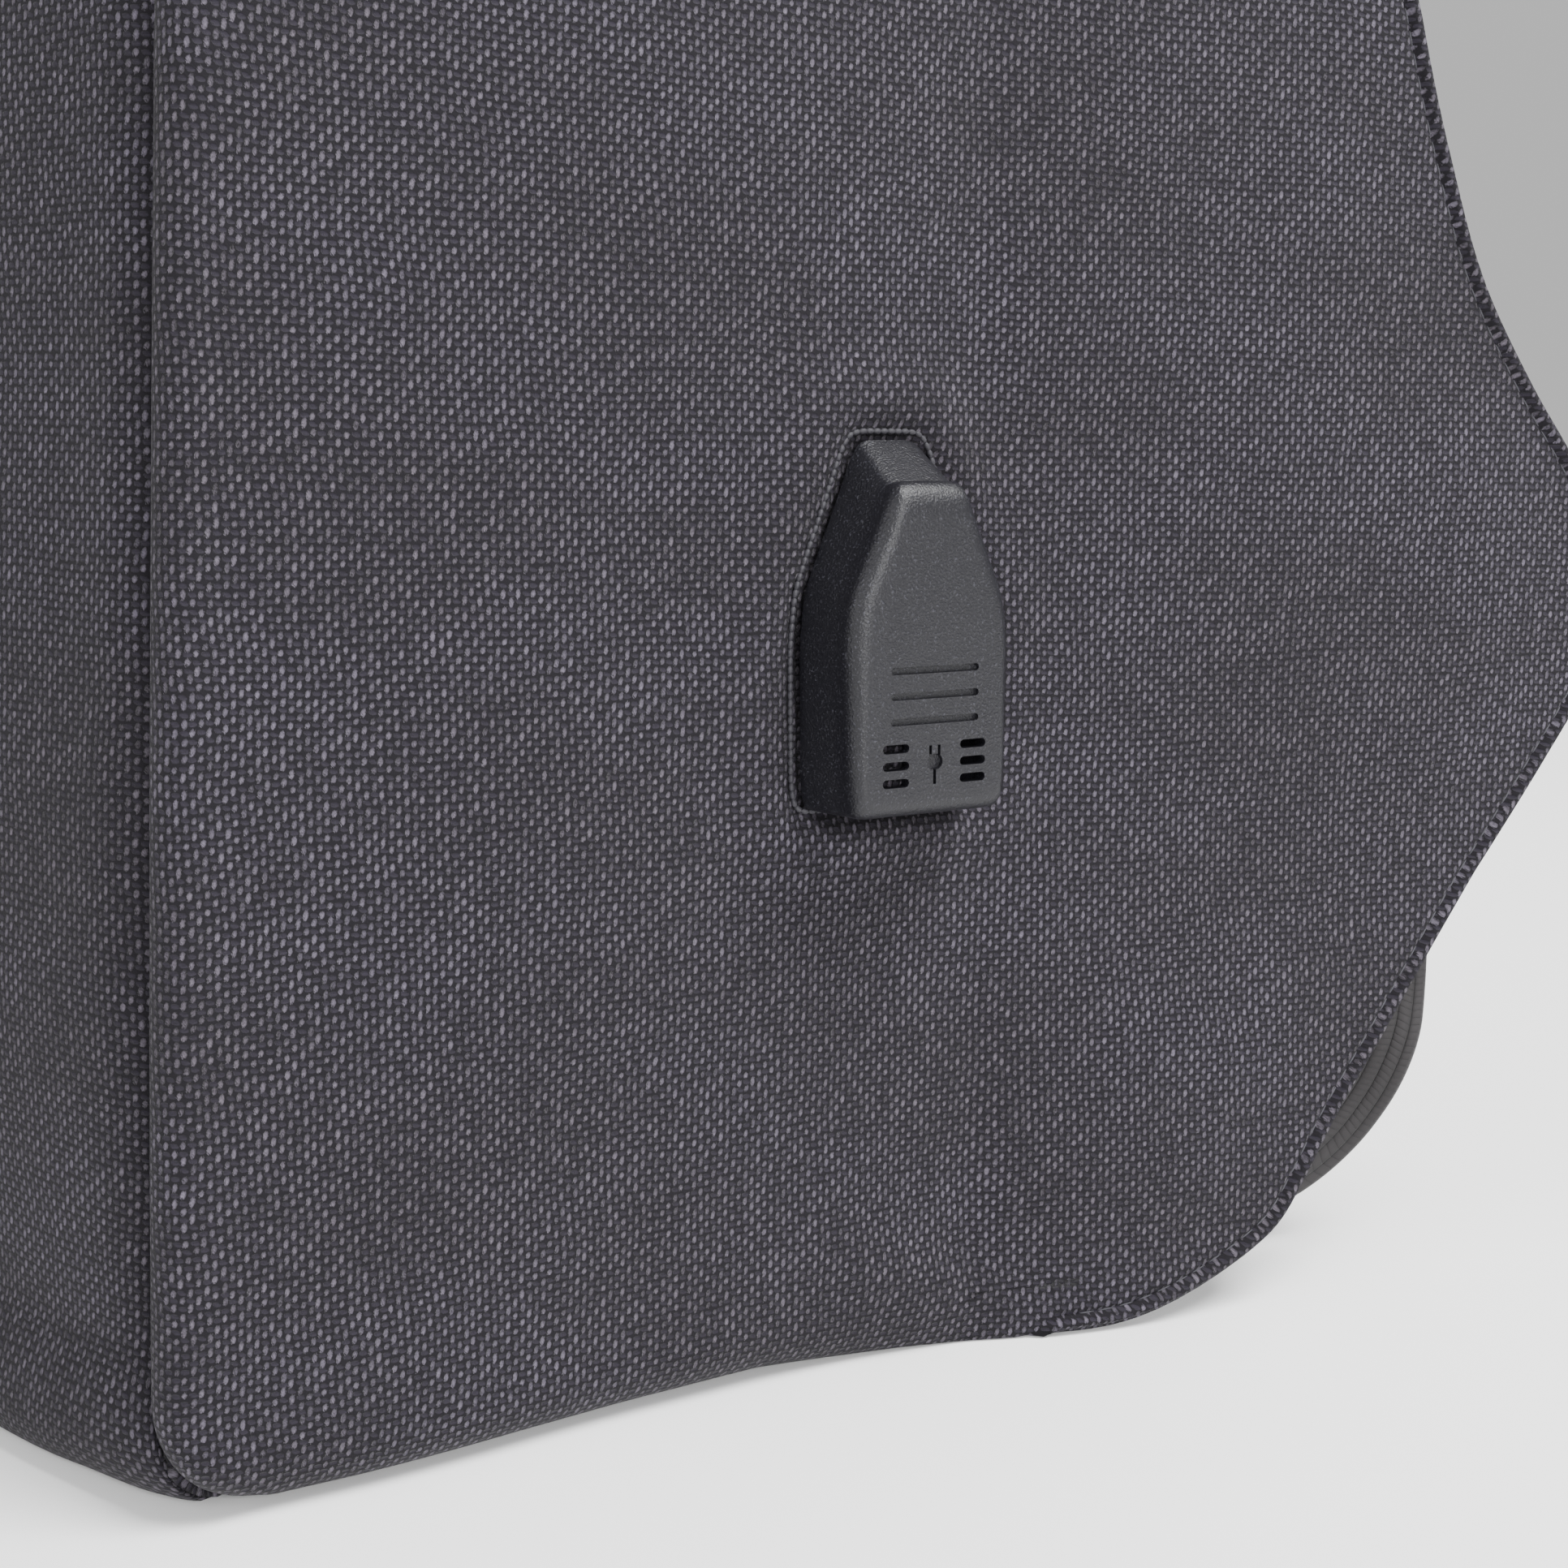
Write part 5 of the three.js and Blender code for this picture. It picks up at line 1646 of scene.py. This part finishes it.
@dataclass
class ShoulderStrap:
    """One padded shoulder strap with bound, stitched edges."""

    side: Side
    stitches: StitchRow
    width: float = 62.0
    end_width: float = 38.0
    thickness: float = 11.0
    stand_off: float = 48.0
    voxel: float = 4.5
    pressure: float = 4.0
    cap: float = 1.6
    steps: int = 130
    rows: tuple = (
        (0.34, 0.0, 0.915),
        (0.342, 0.3, 0.915),
        (0.37, 0.68, 0.895),
        (0.41, 0.93, 0.84),
        (0.48, 1.0, 0.75),
        (0.56, 0.95, 0.64),
        (0.62, 0.8, 0.53),
        (0.665, 0.62, 0.43),
        (0.685, 0.5, 0.36),
    )

    def places(self) -> np.ndarray:
        """Returns the strap's middle line on the right side."""
        form = FORM
        table = [
            (
                a * form.back_width / 2,
                form.back_y + 2 * form.fit_gap + o * self.stand_off,
                h * form.body_height,
            )
            for a, o, h in self.rows
        ]
        return path_through(table, self.steps)

    def build(self) -> list[bpy.types.Object]:
        """Builds the pad, its bound edges and their stitches."""
        name = f"shoulder_strap_{self.side.value}"
        centres = self.places()
        share = np.linspace(0, 1, len(centres))
        widths = lerp(self.width, self.end_width, clamp01((share - 0.55) / 0.45) ** 1.4)
        across = np.repeat([[1.0, 0.0, 0.0]], len(centres), axis=0)
        sections = np.stack([rounded_section(w - 3.0, self.thickness - 2.4, 3.6, 5, 8) for w in widths])
        pad = swept(f"{name}_pad", self.side.place(centres), across, sections)
        swell(pad, self.voxel, self.pressure, self.cap)
        planar_places(pad, 0, 2)
        WARDROBE.dress(pad, Finish.STRAP)
        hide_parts(name)
        along = units(np.gradient(centres, axis=0))
        lift = np.cross(across, along)
        bindings = []
        seams = []
        for sign in (-1, 1):
            rim = centres + across * (sign * (widths / 2 - 1.1))[:, None]
            section = np.repeat(rounded_section(2.4, 5.2, 1.15, 4, 2)[None], len(centres), axis=0)
            bindings.append(
                swept(f"{name}_binding_{'in' if sign < 0 else 'out'}", self.side.place(rim), across, section)
            )
            for face in (-1, 1):
                seams.append(
                    self.side.place(rim - across * sign * 2.4 + lift * (face * (self.thickness / 2 - 1.2)))
                )
        binding = joined(f"{name}_binding", bindings)
        WARDROBE.dress(binding, Finish.WEBBING)
        seam = self.stitches.along(
            f"{name}_stitches", seams, Finish.THREAD, Spacing=3.4, Length=2.6, Width=0.5, Height=0.5
        )
        return [pad, binding, seam]


@dataclass
class AdjustingWebbing:
    """One adjusting webbing, from the back's lower corner round the flap to its ladder lock."""

    side: Side
    strap: ShoulderStrap
    width: float = 30.0
    thickness: float = 1.6
    lock_width: float = 38.0
    lock_height: float = 30.0
    lock_thickness: float = 5.0
    lock_bar: float = 4.0
    tail: float = 85.0
    start_x: float = 98.0
    start_z: float = 19.0
    steps: int = 300
    slack: tuple = (
        (0, 0, 0, 0, 0, -1),
        (16, 0.9, 0, 0, 0, -1),
        (27, 7.6, 0, 0, -0.05, -1),
        (33, 19, 1, 0.08, 0.1, -1),
        (36, 29.5, 2, 0.25, 0.4, -0.88),
        (38.5, 34.5, 8, 0.48, 0.45, -0.74),
        (41.5, 37.5, 20, 0.57, 0.46, -0.67),
        (38, 41, 34, 0.8, 0.35, -0.45),
        (29, 38, 54, 0.95, 0.15, -0.2),
        (12, 27, 86, 1, 0, 0),
    )

    def build(self) -> list[bpy.types.Object]:
        """Builds the webbing and its ladder lock."""
        form = FORM
        wrap = self.lock_thickness / 2 + self.thickness / 2 + 2 * form.fit_gap
        turn = (
            (-wrap - form.fit_gap, -self.lock_height / 2 - 8),
            (-wrap, -self.lock_bar),
            (-wrap, 1),
            (-wrap * 0.7, 1 + wrap * 0.7),
            (0, 1 + wrap),
            (wrap * 0.7, 1 + wrap * 0.7),
            (wrap, 1),
            (wrap, -self.lock_bar),
            (wrap + form.fit_gap, -self.lock_height / 2 - 8),
            (wrap + 1, -self.tail / 2),
            (wrap, -self.tail),
        )
        origin = np.array([self.start_x, form.back_y + 2 * form.fit_gap + self.thickness / 2, self.start_z])
        end = self.strap.places()[-1]
        lock = np.array([end[0], end[1], end[2] - self.lock_height / 2 - self.lock_bar / 2])
        places = [origin + np.array(row[:3]) for row in self.slack]
        places += [lock + np.array([0, y, z]) for y, z in turn]
        acrosses = [np.array(row[3:], float) for row in self.slack] + [np.array([1.0, 0, 0])] * len(turn)
        centres = path_through(places, self.steps)
        across = path_through(acrosses, self.steps)
        share = np.linspace(0, 1, len(centres))
        widths = lerp(self.width, self.lock_width - 2 * self.lock_bar - 1, clamp01(share * 3))
        sections = np.stack([rounded_section(w, self.thickness, 0.75, 4, 10) for w in widths])
        if self.side is Side.LEFT:
            centres, across = mirror_x(centres), mirror_x(across)
        name = f"strap_webbing_{self.side.value}"
        webbing = swept(f"{name}_strip", centres, across, sections)
        WARDROBE.dress(webbing, Finish.WEBBING)
        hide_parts(name)
        lock_piece = cad_copy(f"ladder_lock_{self.side.value}", f"ladder_lock_{self.side.value}_frame", 0.8)
        WARDROBE.dress(lock_piece, Finish.BUCKLE)
        return [webbing, lock_piece]


@dataclass
class GrabHandle:
    """The handle on the top, with its box-stitched ends."""

    stitches: StitchRow
    front: FrontPanel
    span: float = 110.0
    rise: float = 34.0
    width: float = 28.0
    thickness: float = 5.0
    corner: float = 2.2
    grip_swell: float = 2.0
    at_y: float = 24.0
    rows: tuple = ((1, 0.0), (0.78, 0.02), (0.66, 0.2), (0.5, 0.68), (0.26, 0.95), (0, 1))

    def top_z(self, x: float) -> float:
        """Returns the top cloth's height across the bag where the handle is sewn."""
        grid = self.front.outer
        level = grid[:, grid.shape[1] // 2, 2] > FORM.shoulder_start
        row = int(np.argmax(level & (grid[:, 0, 1] > self.at_y - self.width / 2)))
        return float(np.interp(x, grid[row, :, 0], grid[row, :, 2]))

    def build(self) -> list[bpy.types.Object]:
        """Builds the handle and its stitches."""
        half = []
        for share, lift in self.rows:
            x = share * self.span / 2
            seat = self.top_z(x) + 2 * FORM.fit_gap + self.thickness / 2
            half.append((x, self.at_y, seat + lift * self.rise))
        table = half + [(-x, y, z) for x, y, z in half[-2::-1]]
        centres = path_through(table, 120)
        across = np.repeat([[0.0, 1.0, 0.0]], len(centres), axis=0)
        share = np.abs(np.linspace(-1, 1, len(centres)))
        grip = 1 - smooth(0.35, 0.7, share)
        depths = self.thickness + self.grip_swell * grip
        sections = np.stack([rounded_section(self.width, depth, self.corner, 5, 6) for depth in depths])
        handle = swept("grab_handle_strap", centres, across, sections)
        WARDROBE.dress(handle, Finish.STRAP)
        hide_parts("grab_handle")
        seams = []
        for sign in (-1, 1):
            inner = self.span / 2 * 0.82
            outer = self.span / 2 - 2.5
            z = self.top_z(sign * inner) + 2 * FORM.fit_gap + self.thickness + 0.1
            low = self.top_z(sign * outer) + 2 * FORM.fit_gap + self.thickness + 0.1
            near, far = self.at_y - self.width / 2 + 3, self.at_y + self.width / 2 - 3
            corners = [
                (inner, near, z),
                (outer, near, low),
                (outer, far, low),
                (inner, far, z),
                (inner, near, z),
                (outer, far, low),
            ]
            line = np.array([(sign * x, y, h) for x, y, h in corners])
            seams.append(even_steps(line, 1.0))
        seam = self.stitches.along(
            "grab_handle_stitches", seams, Finish.THREAD, Spacing=3.0, Length=2.4, Width=0.5, Height=0.5
        )
        return [handle, seam]


@dataclass
class ChargingPort:
    """The moulded hood over the charging socket."""

    stitches: StitchRow
    wall: float = 1.6
    solid_from: float = 2.0
    socket_width: float = 13.4
    socket_thickness: float = 6.0
    socket_top: float = 6.0
    slot_length: float = 3.9
    slot_height: float = 1.1
    slot_pitch: float = 2.15
    slot_offset: float = 5.8
    slot_first: float = 18.7
    groove_length: float = 13.2
    groove_width: float = 0.9
    groove_depth: float = 0.5
    groove_pitch: float = 3.15
    groove_first: float = 4.8
    mark_depth: float = 0.6
    edge_gap: float = 1.1
    edge_lift: float = -0.25
    edge_rise: float = 2.6
    edge_run: float = 2.3
    edge_mix: float = 0.72

    def outline(self, rows: tuple, inset: float) -> np.ndarray:
        """Returns a whole outline in the port's frame, drawn in by an inset."""
        right = []
        for v, half in rows:
            u = max(0.5, half * PORT.width / 2 - inset)
            right.append((u, v * (PORT.height / 2 - (inset if v > 0 else 0))))
        return np.array(right + [(-u, v) for u, v in right[::-1]])

    def rounded(self, ring: np.ndarray, cut: float) -> np.ndarray:
        """Returns an outline with each corner cut into a short curve."""
        points = []
        count = len(ring)
        for k in range(count):
            before, here, after = ring[k - 1], ring[k], ring[(k + 1) % count]
            back = before - here
            ahead = after - here
            near_back = here + back * min(0.45, cut / np.linalg.norm(back))
            near_ahead = here + ahead * min(0.45, cut / np.linalg.norm(ahead))
            for t in (0.0, 0.25, 0.5, 0.75, 1.0):
                points.append((1 - t) ** 2 * near_back + 2 * t * (1 - t) * here + t * t * near_ahead)
        return np.array(points)

    def form(self, name: str, inset: float, start: float, end: float, shift: float = 0.0) -> bpy.types.Object:
        """Builds the hood's outer form, or its hollow when drawn in.

        Args:
            name: The piece's name.
            inset: How far its outlines are drawn in.
            start: Its lowest distance from the cloth.
            end: Its highest distance from the cloth.
            shift: How far it is moved down.

        Returns:
            A closed piece.
        """
        base = self.rounded(self.outline(HOOD_BASE_ROWS, inset), 2.0)
        face = self.rounded(self.outline(HOOD_FACE_ROWS, inset), 2.4)
        turns = np.radians(np.linspace(0, 90, 9))
        high = end - start
        straight = np.linspace(0, 1 - self.edge_rise / high, 8)[:-1]
        rings = []
        for rise in straight:
            rings.append((rise, rise * self.edge_mix / straight[-1], 0.0))
        for turn in turns:
            rise = 1 - self.edge_rise / high * (1 - math.sin(turn))
            over = 1 - math.cos(turn)
            rings.append((rise, lerp(self.edge_mix, 1, over), self.edge_run * over))
        shapes = []
        for rise, mix, draw in rings:
            flat = lerp(base, face, mix)
            centre = flat.mean(axis=0)
            away = flat - centre
            size = np.linalg.norm(away, axis=1, keepdims=True)
            flat = centre + away * (1 - draw / np.maximum(size, 1e-6))
            shapes.append(
                np.column_stack([flat[:, 0], flat[:, 1] - shift, np.full(len(flat), lerp(start, end, rise))])
            )
        rings = shapes
        centre = rings[-1].mean(axis=0)
        soft = rings[-1].copy()
        soft[:, :2] = lerp(rings[-1][:, :2], centre[:2], 0.05)
        rings.append(soft + np.array([0, 0, 0.02]))
        count = len(base)
        number = np.arange(len(rings) * count).reshape(len(rings), count)
        after = np.roll(number, -1, axis=1)
        quads = np.stack([number[:-1], after[:-1], after[1:], number[1:]], axis=-1).reshape(-1, 4).tolist()
        faces = quads + [number[0, ::-1].tolist(), number[-1].tolist()]
        return new_piece(name, PORT.world(np.concatenate(rings)), faces)

    def bar(
        self, name: str, length: float, height: float, u: float, v: float, start: float, end: float
    ) -> bpy.types.Object:
        """Builds a round-ended bar across the hood, standing through its face."""
        r = height / 2
        turns = np.radians(np.linspace(-90, 90, 9))
        right = np.column_stack([length / 2 - r + r * np.cos(turns), r * np.sin(turns)])
        ring = np.concatenate([right, -right])
        return self.prism(name, ring + np.array([u, v]), start, end)

    def prism(self, name: str, ring: np.ndarray, start: float, end: float) -> bpy.types.Object:
        """Builds a straight body on an outline between two distances from the cloth."""
        count = len(ring)
        low = np.column_stack([ring, np.full(count, start)])
        high = np.column_stack([ring, np.full(count, end)])
        sides = [[k, (k + 1) % count, count + (k + 1) % count, count + k] for k in range(count)]
        faces = sides + [list(range(count))[::-1], list(range(count, 2 * count))]
        return new_piece(name, PORT.world(np.concatenate([low, high])), faces)

    def cut_edge(self) -> bpy.types.Object:
        """Builds the overcast edge of the cloth's cut-out, round the hood's sides and top."""
        ring = self.rounded(self.outline(HOOD_BASE_ROWS, -self.edge_gap), 2.0)
        ring = np.vstack([ring, ring[:1]])
        line = even_steps(ring, 0.5)
        y = PORT.centre_y + line[:, 0] * FORM.along[1]
        z = PORT.centre_z + line[:, 1]
        place = FORM.side_point(y, z) + FORM.out * self.edge_lift
        return self.stitches.along(
            "port_edge_stitches", [place], Finish.OVERCAST, Spacing=1.05, Length=1.3, Width=0.95, Height=0.85
        )

    def plug_mark(self) -> list[bpy.types.Object]:
        """Builds the cutters of a plain plug mark: a body, two prongs and a lead."""
        top = PORT.depth + 1
        floor = PORT.depth - self.mark_depth
        v = -self.slot_first + self.slot_pitch
        parts = [self.bar("mark_body", 2.4, 2.0, 0.0, v + 0.2, floor, top)]
        corners = {
            "mark_prong_a": (-0.85, 1.0, -0.45, 2.3),
            "mark_prong_b": (0.45, 1.0, 0.85, 2.3),
            "mark_lead": (-0.22, -2.6, 0.22, -0.6),
        }
        for name, row in corners.items():
            parts.append(self.prism(name, rectangle(*row) + [0, v], floor, top))
        return parts

    def cut(self, body: bpy.types.Object, cutters: Sequence[bpy.types.Object]) -> None:
        """Cuts pieces out of a body and removes them."""
        for cutter in cutters:
            with_modifier(body, "BOOLEAN", operation="DIFFERENCE", object=cutter, solver="EXACT")
            drop(cutter)

    def build(self) -> list[bpy.types.Object]:
        """Builds the hood and dresses the socket."""
        rim = self.cut_edge()
        hood = self.form("usb_hood_shell", 0.0, 0.0, PORT.depth)
        hollow = self.form("hollow", self.wall, -1.0, PORT.depth - self.wall, 2.0)
        reach = PORT.height / 2 + self.solid_from
        past = 2 * PORT.depth
        above = rectangle(-PORT.width, self.solid_from, PORT.width, self.solid_from + PORT.height)
        block = self.prism("block", above, -5, past)
        self.cut(hollow, [block])
        socket_h = (PORT.depth - self.wall) / 2
        gap = FORM.fit_gap
        half_w = self.socket_width / 2 + gap
        half_t = self.socket_thickness / 2 + gap
        room = rectangle(-half_w, -reach, half_w, self.socket_top + gap)
        pocket = self.prism("pocket", room, socket_h - half_t, socket_h + half_t)
        cutters = [hollow, pocket]
        for side in (-1, 1):
            for k in range(3):
                v = -self.slot_first + k * self.slot_pitch
                u = side * self.slot_offset
                cutters.append(self.bar("slot", self.slot_length, self.slot_height, u, v, socket_h, past))
        for k in range(3):
            v = -self.groove_first - k * self.groove_pitch
            floor = PORT.depth - self.groove_depth
            cutters.append(self.bar("groove", self.groove_length, self.groove_width, 0.0, v, floor, past))
        cutters += self.plug_mark()
        self.cut(hood, cutters)
        with_modifier(
            hood, "BEVEL", width=0.14 * MM, segments=2, limit_method="ANGLE", angle_limit=math.radians(38)
        )
        shade_smooth(hood.data)
        hood.data.set_sharp_from_angle(angle=math.radians(24))
        WARDROBE.dress(hood, Finish.HOOD)
        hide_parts("usb_hood")
        WARDROBE.dress(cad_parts["usb_socket_shell"], Finish.SHELL)
        WARDROBE.dress(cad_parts["usb_socket_tongue"], Finish.BUCKLE)
        return [hood, rim]


@dataclass
class Studio:
    """The floor, the light and the camera."""

    camera_at: tuple = (0.3159, -0.1709, 0.1205)
    azimuth: float = 47.0
    down: float = 8.7
    lens: float = 49.14
    floor_half: float = 6.0
    world_light: float = 0.6

    def light(
        self, name: str, place: Sequence[float], target: Sequence[float], size: float, power: float
    ) -> None:
        """Adds a soft square light that looks at a target."""
        data = bpy.data.lights.new(name, "AREA")
        data.shape = "RECTANGLE"
        data.size = size
        data.size_y = size
        data.energy = power
        lamp = bpy.data.objects.new(name, data)
        lamp.location = place
        lamp.rotation_euler = (Vector(target) - Vector(place)).to_track_quat("-Z", "Y").to_euler()
        bpy.context.scene.collection.objects.link(lamp)

    def build(self) -> None:
        """Builds the floor, the lights, the world and the camera."""
        h = self.floor_half / MM
        corners = np.column_stack([rectangle(-h, -h, h, h), np.full(4, -0.2)])
        floor = new_piece("floor", corners, [[0, 1, 2, 3]])
        floor.data.materials.append(PlainPaint("pale_floor", (0.86, 0.86, 0.86)).material())
        world = bpy.data.worlds.new("studio")
        world.use_nodes = True
        sky = world.node_tree.nodes["Background"]
        sky.inputs["Color"].default_value = (1.0, 1.0, 1.0, 1.0)
        sky.inputs["Strength"].default_value = self.world_light
        bpy.context.scene.world = world
        self.light("key", (0.85, 0.3, 1.5), (0.13, 0.03, 0.1), 0.75, 66)
        self.light("side", (1.45, -0.5, 0.6), (0.13, 0.02, 0.1), 0.35, 26)
        self.light("fill", (0.0, -1.9, 0.9), (0.0, 0.0, 0.2), 1.1, 22)
        self.light("rear", (0.3, 1.8, 1.5), (0.1, 0.1, 0.2), 1.0, 26)
        data = bpy.data.cameras.new("photo_view")
        data.sensor_width = 36
        data.lens = self.lens
        data.clip_start = 0.01
        camera = bpy.data.objects.new("photo_view", data)
        camera.location = self.camera_at
        camera.rotation_euler = (math.radians(90 - self.down), 0, math.radians(self.azimuth))
        bpy.context.scene.collection.objects.link(camera)
        bpy.context.scene.camera = camera


def main() -> None:
    """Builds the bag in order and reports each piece."""
    logging.basicConfig(level=logging.INFO, format="%(name)s: %(message)s")
    Studio().build()
    stitches = StitchRow()
    front = FrontPanel(stitches)
    straps = {side: ShoulderStrap(side, stitches) for side in Side}
    makers = [
        SidePanel(Side.RIGHT, stitches),
        SidePanel(Side.LEFT, stitches),
        front,
        ChargingPort(stitches),
        BaseAndBack(stitches),
        ZipClosure(stitches),
        *straps.values(),
        *(AdjustingWebbing(side, straps[side]) for side in Side),
        GrabHandle(stitches, front),
    ]
    for maker in makers:
        for piece in maker.build():
            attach(piece, "root")
            log.info(
                "%s: %d points, %d faces", piece.name, len(piece.data.vertices), len(piece.data.polygons)
            )


if __name__ == "__main__":
    main()
